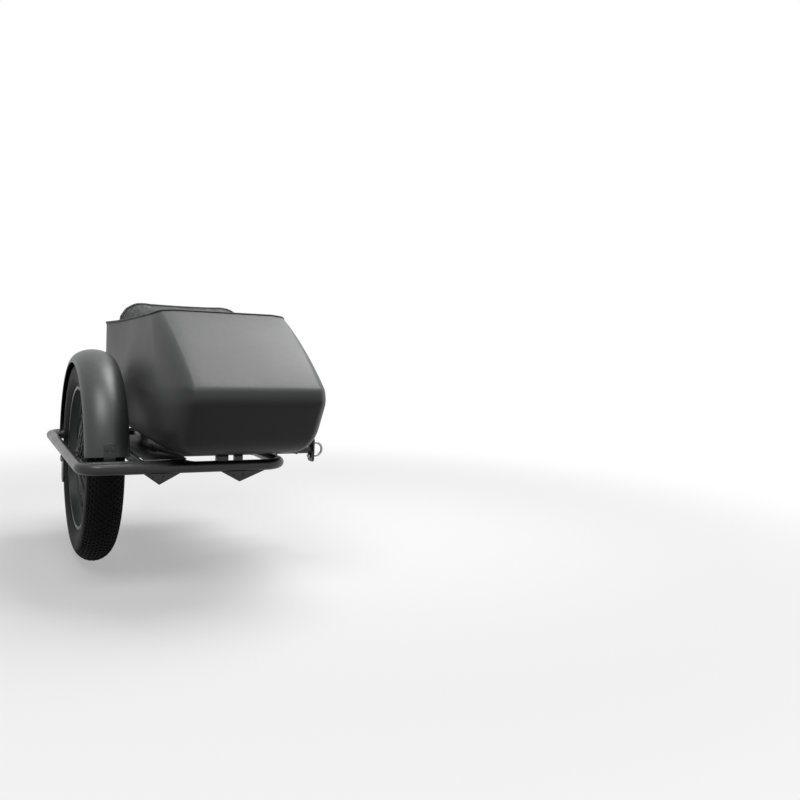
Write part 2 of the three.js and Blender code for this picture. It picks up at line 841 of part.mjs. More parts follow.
// One ring of the body seen from above, anticlockwise from the bicycle side
function bodyRing(front, height) {
  const inset = quarterInset(bilgeRadius, height - bodyBottom);
  const half = bodyHalfWidth - inset;
  const share = deckShare(height);
  const noseHalf = half - deckNarrowing * share;
  const roundShare = 1 - (inset / bilgeRadius) * (1 - chinCornerShare);
  const width = THREE.MathUtils.lerp(creaseCornerWidth, deckCornerWidth, share) * roundShare;
  const length = THREE.MathUtils.lerp(creaseCornerLength, deckCornerLength, share) * roundShare;
  const rear = rearY - quarterInset(rearBilgeRadius, height - bodyBottom);
  const corner = rearCornerRadius;
  const pieces = [
    ellipseCorner(half - corner, rear - corner, corner, corner, 0, 4),
    ellipseCorner(corner - half, rear - corner, corner, corner, Math.PI / 2, 4),
    ellipseCorner(width - noseHalf, front + length, width, length, Math.PI, 8, noseCornerPower),
    ellipseCorner(noseHalf - width, front + length, width, length, 1.5 * Math.PI, 8, noseCornerPower),
  ];
  const runs = [4, 4, 4, 4];
  const outline = [];
  pieces.forEach((piece, i) => {
    const next = pieces[(i + 1) % pieces.length];
    outline.push(...piece, ...along(piece[piece.length - 1], next[0], runs[i]));
  });
  const heightShare = (height - bodyBottom) / (deckHeight - bodyBottom);
  return outline.map(([x, y]) => {
    const z = bodyBottom + heightShare * (rimRise(x, y) - bodyBottom);
    return at(bodyX + x, y, z);
  });
}

function ringNormals(rings) {
  return rings.map((ring, i) => ring.map((point, j) => {
    const sideways = ring[(j + 1) % ring.length].clone().sub(ring[(j + ring.length - 1) % ring.length]);
    const below = rings[Math.max(0, i - 1)][j];
    const above = rings[Math.min(rings.length - 1, i + 1)][j];
    return sideways.cross(above.clone().sub(below)).normalize();
  }));
}

const bodyRings = noseProfile().map(({ y, z }) => bodyRing(y, z));
const bodyNormals = ringNormals(bodyRings);

function insetRings(inset) {
  return bodyRings.map((ring, i) => ring.map((point, j) => {
    if (i === 0) return at(point.x, point.y, bodyBottom + inset);
    return point.clone().addScaledVector(bodyNormals[i][j], -inset);
  }));
}

const innerRings = insetRings(bodyWall);
const bottomCaps = capFaces(bodyRings[0].map(({ x, y }) => new THREE.Vector2(x, y)));

// The room inside the body, which the pieces that meet its walls are trimmed to
const cabin = solid(lofted(insetRings(bodyWall + seatGap), false, bottomCaps));

function makeBodyShell() {
  const rings = [...bodyRings, ...[...innerRings].reverse()];
  add("body_shell", solid(lofted(rings, false, bottomCaps)), "body");
}

function makeTrim() {
  const last = bodyRings.length - 1;
  const reach = trimGap + trimWall;
  const rings = bodyRings[last].map((outer, j) => {
    const out = bodyNormals[last][j];
    const inner = innerRings[last][j];
    const up = outer.clone().sub(bodyRings[last - 1][j]).normalize();
    const place = (base, sideways, rise) => base.clone().addScaledVector(out, sideways).addScaledVector(up, rise);
    return [
      place(outer, reach, -trimLeg),
      place(outer, reach, reach),
      place(inner, -reach, reach),
      place(inner, -reach, -trimLeg),
      place(inner, -trimGap, -trimLeg),
      place(inner, -trimGap, trimGap),
      place(outer, trimGap, trimGap),
      place(outer, trimGap, -trimLeg),
    ];
  });
  add("cockpit_trim", solid(lofted(rings.reverse(), true)), "rubber");
}

function makeFloorMat() {
  const half = bodyHalfWidth - bilgeRadius - matInset;
  const front = chinY + chinBend + matInset;
  const rear = seatFrontY + matInset;
  const outline = roundedRectangle(bodyX - half, front, 2 * half, rear - front, matInset);
  const mat = plate(outline, "z", bodyBottom + bodyWall + seatGap, matThickness);
  add("floor_mat", mat.intersect(cabin), "rubber");
}

// Seat
const innerHalf = bodyHalfWidth - bodyWall;
const bearerTop = bearerHeight + bearerDepth;
const boardBottom = bearerTop + seatGap;
const boardTop = boardBottom + seatBoardThickness;

// A cushion on its back: crowned on top, flat below, with sides drawn in between its corners
function cushionGeometry(width, length, thickness, corner) {
  const steps = 12;
  const rings = [];
  const outline = (inset, drop) => {
    const points = [];
    const halfX = width / 2 - inset;
    const halfY = length / 2 - inset;
    const radius = Math.max(corner - inset, corner / 3);
    const centres = [[halfX, halfY, 0], [-halfX, halfY, 1], [-halfX, -halfY, 2], [halfX, -halfY, 3]];
    for (const [x, y, quarter] of centres) {
      const cx = x - Math.sign(x) * radius;
      const cy = y - Math.sign(y) * radius;
      const fromAngle = (quarter * Math.PI) / 2;
      for (let k = 0; k <= 4; k++) {
        const angle = fromAngle + (Math.PI / 2) * (k / 4);
        points.push([cx + radius * Math.cos(angle), cy + radius * Math.sin(angle)]);
      }
      const [nx, ny] = quarter % 2 === 0 ? [-x, y] : [x, -y];
      const from = points[points.length - 1];
      const nextX = nx - Math.sign(nx) * radius;
      const nextY = ny - Math.sign(ny) * radius;
      const to = quarter % 2 === 0 ? [nextX, from[1]] : [from[0], nextY];
      points.push(...along(from, to, 5));
    }
    return points.map(([x, y]) => {
      const nearSideX = 1 - Math.min(1, Math.abs(y) / (length / 2)) ** 2;
      const nearSideY = 1 - Math.min(1, Math.abs(x) / (width / 2)) ** 2;
      const px = x * (1 - cushionDrawShare * nearSideX);
      const py = y * (1 - cushionDrawShare * nearSideY);
      return at(px, py, drop);
    });
  };
  const half = thickness * cushionSideShare;
  const crown = thickness - half;
  const round = half / 2;
  for (let k = 0; k <= 3; k++) {
    const angle = (Math.PI / 2) * (k / 3);
    rings.push(outline(round * (1 - Math.sin(angle)), round * (1 - Math.cos(angle))));
  }
  for (let k = 0; k <= 3; k++) {
    const angle = (Math.PI / 2) * (k / 3);
    rings.push(outline(round * (1 - Math.cos(angle)), half - round + round * Math.sin(angle)));
  }
  const reach = Math.min(width, length) / 2 - round;
  const inner = steps / 3;
  for (let k = 1; k <= inner; k++) {
    const share = k / (inner + 1);
    rings.push(outline(round + reach * share * cushionTopShare, half + crown * Math.sin((Math.PI / 2) * share)));
  }
  const flat = rings[0].map(({ x, y }) => new THREE.Vector2(x, y));
  return lofted(rings, false, capFaces(flat));
}

function makeSeat() {
  for (const [word, side] of [["outer", -1], ["inner", 1]]) {
    const wall = bodyX + side * innerHalf;
    const edge = wall - side * bearerWidth;
    const low = at(Math.min(wall, edge), seatFrontY, bearerHeight);
    const high = at(Math.max(wall, edge), seatRearY, bearerTop);
    add(`seat_bearer_${word}`, boxBetween(low, high).intersect(cabin), "frame");
  }
  const half = innerHalf - seatSideGap;
  const board = roundedRectangle(bodyX - half, seatFrontY, 2 * half, seatRearY - seatFrontY, matInset);
  add("seat_board", plate(board, "z", boardBottom, seatBoardThickness).intersect(cabin), "board");
  const width = 2 * (half - cushionSideGap);
  const rear = backrestFootY - backrestThickness / Math.cos(radians(backrestLean));
  const length = rear - seatFrontY;
  const cushion = cushionGeometry(width, length, cushionThickness, backrestCorner / 2);
  cushion.translate(bodyX, seatFrontY + length / 2, boardTop + seatGap);
  add("seat_cushion", solid(cushion), "vinyl");
}

function makeBackrest() {
  const lean = radians(backrestLean);
  const place = (geometry) => {
    geometry.rotateX(Math.PI / 2 - lean);
    return solid(geometry.translate(bodyX, backrestFootY, boardTop + seatGap));
  };
  const lift = backrestThickness * Math.sin(lean);
  const cushion = cushionGeometry(backrestWidth, backrestHeight, backrestThickness, backrestCorner);
  cushion.translate(0, backrestHeight / 2 + lift, seatGap);
  add("backrest_cushion", place(cushion), "vinyl");
  const boardHeight = backrestHeight - backBoardInset;
  const halfBoard = backrestWidth / 2 - backBoardInset;
  const outline = roundedRectangle(-halfBoard, 0, 2 * halfBoard, boardHeight, backrestCorner - backBoardInset);
  const depth = backBoardThickness;
  const board = new THREE.ExtrudeGeometry(outline, { depth, bevelEnabled: false, curveSegments: bendSteps });
  board.translate(0, lift, -backBoardThickness);
  const boardSolid = place(board);
  add("backrest_board", boardSolid, "board");
  const gapCut = new THREE.BoxGeometry(2 * backrestWidth, 2 * backrestHeight, backrestHeight);
  gapCut.translate(0, 0, backrestHeight / 2 - backBoardThickness - seatGap);
  const front = place(gapCut);
  for (const [word, side] of [["outer", -1], ["inner", 1]]) {
    const x = bodyX + side * backBracketSpread;
    const low = at(x - backBracketWidth / 2, backrestFootY, backBracketZ);
    const high = at(x + backBracketWidth / 2, rearY, backBracketZ + backBracketHeight);
    add(`backrest_bracket_${word}`, boxBetween(low, high).subtract(front).intersect(cabin), "frame");
  }
}

// Body mounts stand on the bumper tubes, each with a rubber pad between it and the body
function makeMounts() {
  const rows = [
    ["1", frontMountX, -frontTubeReach, 1, mountWidth],
    ["2", frontNarrowMountX, -frontTubeReach, 1, narrowMountWidth],
    ["3", bodyX - rearMountSpread, rearTubeReach, -1, mountWidth],
    ["4", bodyX + rearMountSpread / 2, rearTubeReach, -1, mountWidth],
  ];
  const padTop = bodyBottom - seatGap;
  const padBottom = padTop - padThickness;
  for (const [word, x, tubeY, inward, width] of rows) {
    const nearY = tubeY - (inward * mountDepth) / 4;
    const farY = nearY + inward * mountDepth;
    const low = at(x - width / 2, Math.min(nearY, farY), frameHeight);
    const high = at(x + width / 2, Math.max(nearY, farY), padBottom - seatGap);
    const post = coped(boxBetween(low, high), ...bumperCuts, bodyRailCut);
    add(`body_mount_${word}`, largest(post), "frame");
    const padLow = at(low.x, low.y, padBottom);
    const padHigh = at(high.x, high.y, padTop);
    add(`body_pad_${word}`, boxBetween(padLow, padHigh), "rubber");
  }
}

// Fender
function fenderSection(inset) {
  const points = [];
  const steps = 12;
  for (let k = 0; k <= steps; k++) {
    const angle = Math.PI * (k / steps - 0.5);
    const x = (fenderHalfWidth - inset) * Math.sin(angle);
    const radius = fenderRadius - fenderLipDrop + (fenderLipDrop - inset) * Math.cos(angle);
    points.push([x, radius]);
  }
  return points;
}

function makeFender() {
  const section = [...fenderSection(0), ...fenderSection(fenderThickness).reverse()];
  const start = radians(fenderEndAngle);
  const sweep = Math.PI - 2 * start;
  const rings = [];
  for (let k = 0; k <= fenderSteps; k++) {
    const angle = start + (sweep * k) / fenderSteps;
    rings.push(section.map(([x, radius]) => wheelPoint(x, radius, angle)));
  }
  const flat = section.map(([x, radius]) => new THREE.Vector2(x, radius));
  add("fender", solid(lofted(rings, false, capFaces(flat))), "fender");
}

function makeFenderBrackets() {
  const near = fenderRadius + seatGap;
  const far = near + fenderBracketThickness;
  const tubeFace = innerTubeReach - innerTubeRadius - seatGap;
  const foot = frameHeight - innerTubeRadius / 2;
  for (const [word, side] of [["front", -1], ["rear", 1]]) {
    const inner = [];
    const outer = [];
    for (let k = 0; k <= 4; k++) {
      const angle = radians(fenderEndAngle + ((fenderBracketAngle - fenderEndAngle) * k) / 4);
      inner.push([side * near * Math.cos(angle), wheelRadius + near * Math.sin(angle)]);
      outer.push([side * far * Math.cos(angle), wheelRadius + far * Math.sin(angle)]);
    }
    const outline = outlineOf([
      [side * tubeFace, foot],
      ...outer,
      ...inner.reverse(),
      [side * (tubeFace - fenderBracketThickness), foot],
    ]);
    const strip = plate(outline, "x", -fenderBracketWidth / 2, fenderBracketWidth);
    const tube = alongX(-sideTubeOffset, bodyRailX, side * innerTubeReach, innerTubeRadius + seatGap);
    add(`fender_bracket_${word}`, coped(strip, tube), "frame");
  }
}

function makeFenderStay() {
  const face = fenderHalfWidth + seatGap;
  const foot = frameHeight + innerTubeRadius / 2;
  const knee = stayTop - stayKneeDrop;
  const outline = outlineAcrossY([
    [sideTubeOffset - stayThickness / 2, foot],
    [sideTubeOffset + stayThickness / 2, foot],
    [face + stayThickness, knee],
    [face + stayThickness, stayTop],
    [face, stayTop],
    [face, knee],
  ]);
  const strip = plate(outline, "y", -stayWidth / 2, stayWidth);
  const rail = alongY(sideTubeOffset, -stayWidth, stayWidth, innerTubeRadius + seatGap);
  add("fender_stay", coped(strip, rail), "frame");
}

// Hitch: a welded yoke that leans on two pins, with a plate for the bicycle's axle and a clamp
function acrossPivot(y0, y1, radius, sides) {
  return rod(at(hitchPivotX, y0, frameHeight), at(hitchPivotX, y1, frameHeight), radius, sides);
}

function makeClevis(word, y) {
  const half = eyeWidth / 2 + seatGap;
  const outerHalf = half + clevisThickness;
  const back = bikeRailX + bumperTubeRadius + seatGap;
  const tip = hitchPivotX + eyeRadius;
  const outline = outlineOf([
    [back, y - outerHalf],
    [tip, y - outerHalf],
    [tip, y - half],
    [back + clevisThickness, y - half],
    [back + clevisThickness, y + half],
    [tip, y + half],
    [tip, y + outerHalf],
    [back, y + outerHalf],
  ]);
  const blank = plate(outline, "z", frameHeight - clevisHeight / 2, clevisHeight);
  const hole = acrossPivot(y - outerHalf - overrun, y + outerHalf + overrun, pinRadius + seatGap, rodSides);
  add(`clevis_${word}`, blank.subtract(hole), "frame");
  const headFrom = outerHalf + seatGap;
  const headTo = headFrom + pinHeadWidth;
  const shank = acrossPivot(y - headTo, y + headTo, pinRadius, rodSides);
  const head = acrossPivot(y - headTo, y - headFrom, pinHeadRadius, hexSides);
  const nut = acrossPivot(y + headFrom, y + headTo, pinHeadRadius, hexSides);
  add(`hitch_pin_${word}`, shank.add(head).add(nut), "steel");
}

function makeYoke() {
  const end = hitchFaceX - axlePlateThickness - seatGap;
  const rows = [hitchFrontY, hitchRearY];
  const arms = rows.map((y) => alongX(hitchPivotX, end, y, innerTubeRadius));
  const eyes = rows.map((y) => acrossPivot(y - eyeWidth / 2, y + eyeWidth / 2, eyeRadius, tubeSides));
  const tie = alongY(hitchTieX, hitchFrontY, hitchRearY, innerTubeRadius);
  const bores = rows.map((y) => acrossPivot(y - eyeWidth, y + eyeWidth, pinRadius + seatGap, rodSides));
  const yoke = [...arms, ...eyes].reduce((whole, piece) => whole.add(piece), tie);
  add("hitch_yoke", coped(yoke, ...bores), "frame");
}

function makeAxlePlate() {
  const half = axlePlateWidth / 2;
  const outline = roundedRectangle(
    hitchRearY - half,
    axlePlateBottom,
    axlePlateWidth,
    axlePlateTop - axlePlateBottom,
    half / 2,
  );
  const blank = plate(outline, "x", hitchFaceX - axlePlateThickness, axlePlateThickness);
  const from = at(hitchFaceX - axlePlateThickness - overrun, hitchRearY, bikeAxleHeight);
  const to = at(hitchFaceX + overrun, hitchRearY, bikeAxleHeight);
  add("axle_plate", blank.subtract(rod(from, to, bikeAxleRadius, 2 * rodSides)), "frame");
}

function makeStayClamp() {
  const half = clampPlateWidth / 2;
  const outline = roundedRectangle(
    hitchFrontY - half,
    frameHeight - clampPlateHeight / 2,
    clampPlateWidth,
    clampPlateHeight,
    half / 2,
  );
  const back = hitchFaceX - axlePlateThickness;
  const blank = plate(outline, "x", back, axlePlateThickness);
  const spread = innerTubeRadius + clampNutRadius + 2 * seatGap;
  const legFoot = back - clampThread - seatGap;
  const crown = hitchFaceX + stayTubeRadius + spread;
  const holes = [-1, 1].map((side) => {
    const z = frameHeight + side * spread;
    const from = at(back - overrun, hitchFrontY, z);
    const to = at(hitchFaceX + overrun, hitchFrontY, z);
    return rod(from, to, clampBoltRadius + seatGap, rodSides);
  });
  add("clamp_plate", coped(blank, ...holes), "frame");
  const corners = [
    at(legFoot, hitchFrontY, frameHeight - spread),
    at(crown, hitchFrontY, frameHeight - spread),
    at(crown, hitchFrontY, frameHeight + spread),
    at(legFoot, hitchFrontY, frameHeight + spread),
  ];
  let bolt = bentTube(corners, clampBoltRadius, spread * clampBendShare, 8);
  for (const side of [-1, 1]) {
    const z = frameHeight + side * spread;
    const from = at(back - seatGap, hitchFrontY, z);
    const to = at(back - seatGap - clampNutWidth, hitchFrontY, z);
    bolt = bolt.add(rod(from, to, clampNutRadius, hexSides));
  }
  add("stay_u_bolt", bolt, "steel");
}

makeRails();
makeCrossTubes();
makeStepPlate();
makeFloorPlate();
makeDropouts();
makeLug("front_lug_outer", outerLugX, outerLugWidth);
makeLug("front_lug_inner", innerLugX, innerLugWidth);
makeMounts();
makeBodyShell();
makeTrim();
makeFloorMat();
makeSeat();
makeBackrest();
makeFender();
makeFenderBrackets();
makeFenderStay();
makeAxle();
makeHub();
makeRim();
makeInnerTube();
makeTyre();
makeValve();
makeClevis("front", hitchFrontY);
makeClevis("rear", hitchRearY);
makeYoke();
makeAxlePlate();
makeStayClamp();

export default sidecar;
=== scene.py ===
"""Looks of the bicycle sidecar: skins, tread, spokes, welds and cushions round the fixed frame."""
import json
import math

import bmesh
import bpy
import numpy as np
from mathutils import Matrix, Vector
from mathutils.bvhtree import BVHTree

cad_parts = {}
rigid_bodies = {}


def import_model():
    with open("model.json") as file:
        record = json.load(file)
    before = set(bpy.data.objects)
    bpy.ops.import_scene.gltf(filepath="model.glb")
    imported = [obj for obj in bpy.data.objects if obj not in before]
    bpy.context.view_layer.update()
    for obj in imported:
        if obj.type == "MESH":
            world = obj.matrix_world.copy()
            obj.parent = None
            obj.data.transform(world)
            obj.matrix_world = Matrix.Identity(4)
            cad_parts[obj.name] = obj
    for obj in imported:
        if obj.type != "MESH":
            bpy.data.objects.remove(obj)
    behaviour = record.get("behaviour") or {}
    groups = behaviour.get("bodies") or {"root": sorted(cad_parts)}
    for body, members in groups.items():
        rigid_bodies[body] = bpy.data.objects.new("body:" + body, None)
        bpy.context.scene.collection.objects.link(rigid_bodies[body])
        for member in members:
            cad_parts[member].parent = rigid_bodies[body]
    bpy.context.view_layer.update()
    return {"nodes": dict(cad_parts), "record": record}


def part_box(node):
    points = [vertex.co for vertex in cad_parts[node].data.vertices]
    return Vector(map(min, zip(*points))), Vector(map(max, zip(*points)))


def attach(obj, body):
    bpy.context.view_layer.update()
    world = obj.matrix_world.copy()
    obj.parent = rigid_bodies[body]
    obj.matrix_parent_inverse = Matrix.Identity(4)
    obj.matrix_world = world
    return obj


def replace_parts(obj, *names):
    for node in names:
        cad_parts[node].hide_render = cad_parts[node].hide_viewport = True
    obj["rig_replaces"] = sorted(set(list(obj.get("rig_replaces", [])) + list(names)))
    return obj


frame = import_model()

bl_info = {
    "name": "Bicycle Sidecar",
    "version": (1, 0, 0),
    "blender": (4, 5, 0),
    "location": "3D View > Sidebar > Sidecar",
    "description": "Builds the skins, tread, spokes, welds and cushions of a bicycle sidecar",
    "category": "Add Mesh",
}

SLOT_OF_NODE = {row["node"]: row["material_slot"] for row in frame["record"]["subparts"]}
BODY_OF_NODE = {
    node: body for body, nodes in frame["record"]["behaviour"]["bodies"].items() for node in nodes
}
MM = 0.001
ALONG_X = Vector((1, 0, 0))
UP = Vector((0, 0, 1))

# The frame's origin is the hitch's face. These pieces are laid out from the wheel's foot instead.
WHEEL_FOOT = Vector((0.648, 0.040, 0.326))
WHEEL_RADIUS = 300
TUBE_HEIGHT = 326


def spot(x, y, z):
    """A place given in millimetres from the wheel's foot, in the frame's metres."""
    return Vector((x, y, z)) * MM - WHEEL_FOOT


def from_foot(point):
    """A place in the frame's metres, in millimetres from the wheel's foot."""
    return (point + WHEEL_FOOT) / MM


# Settings that a user may change


def length(name, text, millimetres):
    """A size, kept in metres."""
    return bpy.props.FloatProperty(
        name=name, description=text, default=millimetres * MM, unit="LENGTH", subtype="DISTANCE", precision=4
    )


def how_many(name, text, default, least):
    return bpy.props.IntProperty(name=name, description=text, default=default, min=least)


def colour(name, text, red, green, blue):
    """A finish's colour, in linear light."""
    return bpy.props.FloatVectorProperty(
        name=name, description=text, default=(red, green, blue), size=3, min=0, max=1, subtype="COLOR"
    )


class SidecarSizes(bpy.types.PropertyGroup):
    """Sizes of the pieces that the frame leaves plain."""

    bumper_radius: length("Bumper tube radius", "Outer radius of the tube that runs round the sidecar", 15)
    rail_radius: length("Rail tube radius", "Outer radius of the inner tubes, rails and cross tubes", 12.5)
    weld_radius: length("Weld radius", "Radius of one ripple of a weld", 2.6)
    knob_height: length("Knob height", "How far the tread knobs stand out of the tyre", 3.2)
    knob_length: length("Knob length", "Length of a tread knob round the tyre", 9.5)
    knob_width: length("Knob width", "Width of a tread knob across the tyre", 8)
    spoke_radius: length("Spoke radius", "Radius of a spoke", 1.1)
    piping_radius: length("Piping radius", "Radius of the welt round each cushion", 3.6)
    edge_radius: length("Edge radius", "Rounding of the edges of plates and brackets", 0.8)
    mat_rib: length("Mat rib height", "How far the ribs stand out of the floor mat", 1.6)


class SidecarCounts(bpy.types.PropertyGroup):
    """How many of each repeated piece there are, and how finely round things are cut."""

    spokes: how_many("Spokes", "Spokes in the wheel", 36, 12)
    knobs: how_many("Knobs", "Tread knobs in one row round the tyre", 112, 24)
    mat_ribs: how_many("Mat ribs", "Ribs across the floor mat", 26, 2)
    tube_sides: how_many("Tube sides", "Faces round a frame tube", 32, 8)
    wheel_steps: how_many("Wheel steps", "Steps round the tyre and rim", 144, 24)


class SidecarColours(bpy.types.PropertyGroup):
    """Colours of the finishes."""

    body: colour("Body", "Satin charcoal paint of the moulded body", 0.08, 0.084, 0.081)
    lining: colour("Lining", "Rough inside of the moulded body", 0.03, 0.031, 0.031)
    coat: colour("Frame", "Satin black powder coat of the tubes and plates", 0.022, 0.023, 0.024)
    fender: colour("Fender", "Satin black moulded fender", 0.03, 0.034, 0.034)
    step: colour("Step", "Worn grey coat of the step plate", 0.3, 0.305, 0.3)
    tyre: colour("Tyre", "Tyre rubber", 0.009, 0.009, 0.0095)
    rubber: colour("Rubber", "Trim, mat and pads", 0.018, 0.018, 0.018)
    vinyl: colour("Vinyl", "Cover of the seat and backrest", 0.035, 0.036, 0.037)
    rim: colour("Rim", "Black anodised rim", 0.05, 0.052, 0.053)
    steel: colour("Steel", "Spokes, bolts and pins", 0.32, 0.325, 0.33)
    alloy: colour("Alloy", "Turned spacers", 0.5, 0.51, 0.52)
    board: colour("Board", "Black-stained plywood", 0.045, 0.036, 0.028)


def sizes():
    return bpy.context.scene.sidecar_sizes


def counts():
    return bpy.context.scene.sidecar_counts


# Node trees


class Tree:
    """Builds a node tree by naming each node's inputs as values or as the sockets that feed them."""

    def __init__(self, tree):
        self.tree = tree

    def inlet(self, name, kind, default=None):
        socket = self.tree.interface.new_socket(name, in_out="INPUT", socket_type=f"NodeSocket{kind}")
        if default is not None:
            socket.default_value = default

    def outlet(self, name, kind):
        self.tree.interface.new_socket(name, in_out="OUTPUT", socket_type=f"NodeSocket{kind}")

    def add(self, kind, feeds=None, **settings):
        node = self.tree.nodes.new(kind)
        for name, value in settings.items():
            setattr(node, name, value)
        for name, value in (feeds or {}).items():
            if isinstance(value, bpy.types.NodeSocket):
                self.tree.links.new(value, node.inputs[name])
            else:
                node.inputs[name].default_value = value
        return node

    def out(self, kind, feeds=None, socket=0, **settings):
        """Adds a node and gives one of its outputs."""
        return self.add(kind, feeds, **settings).outputs[socket]

    def sums(self, operation, first, second=0.0):
        return self.out("ShaderNodeMath", {0: first, 1: second}, operation=operation)

    def vectors(self, operation, first, second):
        return self.out("ShaderNodeVectorMath", {0: first, 1: second}, operation=operation)

    def noise(self, vector, scale, detail, rough):
        feeds = {"Vector": vector, "Scale": scale, "Detail": detail, "Roughness": rough}
        return self.out("ShaderNodeTexNoise", feeds, "Fac")

    def remapped(self, value, low, high, to_low=0.0, to_high=1.0, **settings):
        feeds = {"Value": value, "From Min": low, "From Max": high, "To Min": to_low, "To Max": to_high}
        return self.out("ShaderNodeMapRange", feeds, "Result", **settings)

    def mixed(self, share, first, second):
        return self.out("ShaderNodeMix", {0: share, 6: first, 7: second}, 2, data_type="RGBA")


# Patterns that several finishes share, as shader groups


def coat_marks(build, inlet):
    """Sprayed or powder-coated skin: fine peel, slow change of tone, and dust on what faces up."""
    peel = build.noise(inlet["Vector"], inlet["Peel Scale"], 2.0, 0.4)
    tone = build.noise(inlet["Vector"], inlet["Tone Scale"], 4.0, 0.55)
    facing = build.out("ShaderNodeNewGeometry", socket="Normal")
    top = build.remapped(build.out("ShaderNodeSeparateXYZ", {0: facing}, "Z"), 0.2, 0.95)
    specks = build.remapped(build.noise(inlet["Vector"], 46.0, 6.0, 0.7), 0.42, 0.75)
    return peel, tone, build.sums("MULTIPLY", build.sums("MULTIPLY", top, specks), inlet["Dust"])


def grain_marks(build, inlet):
    """Pressed leather grain: small cells with creases between them, and slow wear."""
    warp = build.out("ShaderNodeTexNoise", {"Vector": inlet["Vector"], "Scale": 160.0}, "Color")
    shift = build.out("ShaderNodeVectorMath", {0: warp, "Scale": 0.004}, operation="SCALE")
    feeds = {"Vector": build.vectors("ADD", inlet["Vector"], shift), "Scale": inlet["Cell Scale"]}
    cells = build.out("ShaderNodeTexVoronoi", feeds, "Distance", feature="DISTANCE_TO_EDGE")
    return build.remapped(cells, 0.0, 0.22), build.noise(inlet["Vector"], 9.0, 5.0, 0.6)


def rubber_marks(build, inlet):
    """Moulded rubber: fine pores, and dry grey dust that gathers in patches."""
    pores = build.noise(inlet["Vector"], inlet["Pore Scale"], 3.0, 0.6)
    return pores, build.remapped(build.noise(inlet["Vector"], 22.0, 6.0, 0.65), 0.45, 0.8)


def drawn_marks(build, inlet):
    """Turned or drawn metal: fine lines across one axis, with smears of oil."""
    stretched = build.vectors("MULTIPLY", inlet["Vector"], inlet["Line Scale"])
    return build.noise(stretched, 1.0, 2.0, 0.5), build.noise(inlet["Vector"], 34.0, 4.0, 0.6)


PATTERNS = {
    # key: title, inlets, outlets, and what makes the outlets
    "coat": (
        "Coated skin",
        {"Peel Scale": 900.0, "Tone Scale": 7.0, "Dust": 0.3},
        ("Peel", "Tone", "Dust"),
        coat_marks,
    ),
    "grain": ("Pressed grain", {"Cell Scale": 520.0}, ("Height", "Wear"), grain_marks),
    "rubber": ("Moulded rubber", {"Pore Scale": 700.0}, ("Height", "Dust"), rubber_marks),
    "drawn": ("Drawn metal", {"Line Scale": (900.0, 40.0, 40.0)}, ("Height", "Smear"), drawn_marks),
}
GROUPS = {}


def pattern_group(title, inlets, outlets, marks):
    """Builds one of the patterns as a shader group."""
    tree = bpy.data.node_groups.new(title, "ShaderNodeTree")
    build = Tree(tree)
    build.inlet("Vector", "Vector")
    for name, default in inlets.items():
        build.inlet(name, "Vector" if isinstance(default, tuple) else "Float", default)
    for name in outlets:
        build.outlet(name, "Float")
    inlet = build.add("NodeGroupInput").outputs
    build.add("NodeGroupOutput", dict(zip(outlets, marks(build, inlet))))
    return tree


# Finishes

MATERIALS = {}
SETTLED_DUST = (0.26, 0.255, 0.245, 1)
DRY_DUST = (0.11, 0.105, 0.098, 1)


def empty_tree(owner):
    """A builder for the emptied node tree of a material or the world."""
    owner.use_nodes = True
    owner.node_tree.nodes.clear()
    return Tree(owner.node_tree)


def start_material(name):
    material = bpy.data.materials.new(name)
    build = empty_tree(material)
    return material, build, build.out("ShaderNodeTexCoord", socket="Object")


def patterned(name, key, values):
    """A new material with a pattern in it, whose outlets it gives too."""
    material, build, place = start_material(name)
    if key not in GROUPS:
        GROUPS[key] = pattern_group(*PATTERNS[key])
    marks = build.add("ShaderNodeGroup", {"Vector": place, **values}, node_tree=GROUPS[key]).outputs
    return material, build, marks


def finish_material(build, tone, rough, height, bump_depth, even=()):
    """Joins the changing tone, roughness and bump to one shader. even holds what is the same all over."""
    bump = build.out("ShaderNodeBump", {"Height": height, "Strength": 1.0, "Distance": bump_depth})
    feeds = {"Base Color": tone, "Roughness": rough, "Normal": bump, **dict(even)}
    build.add("ShaderNodeOutputMaterial", {"Surface": build.out("ShaderNodeBsdfPrincipled", feeds)})


def shade_of(base, factor):
    return (*(min(1.0, channel * factor) for channel in base[:3]), 1.0)


def toned(build, mask, base, darker, lighter):
    return build.mixed(mask, shade_of(base, darker), shade_of(base, lighter))


def roughened(build, mask, least, most):
    return build.remapped(mask, 0.3, 0.7, least, most)


def coated(name, base, rough, spread, dust, peel, peel_scale=900.0, tone_scale=7.0, specular=0.5, metal=0.0):
    """Satin paint or powder coat."""
    values = {"Peel Scale": peel_scale, "Tone Scale": tone_scale, "Dust": dust}
    material, build, skin = patterned(name, "coat", values)
    dusty = build.mixed(skin["Dust"], toned(build, skin["Tone"], base, 0.84, 1.16), SETTLED_DUST)
    roughness = roughened(build, skin["Tone"], rough - spread, rough + spread)
    worn = build.sums("ADD", roughness, build.sums("MULTIPLY", skin["Dust"], 0.3))
    even = {"Specular IOR Level": specular, "Metallic": metal}
    finish_material(build, dusty, worn, skin["Peel"], peel, even)
    return material


def rubbery(name, base, rough, dust, pores=0.00025):
    material, build, skin = patterned(name, "rubber", {"Pore Scale": 700.0})
    tone = build.mixed(build.sums("MULTIPLY", skin["Dust"], dust), shade_of(base, 1), DRY_DUST)
    roughness = build.remapped(skin["Dust"], 0, 1, rough, rough + 0.12)
    finish_material(build, tone, roughness, skin["Height"], pores, {"Specular IOR Level": 0.12})
    return material


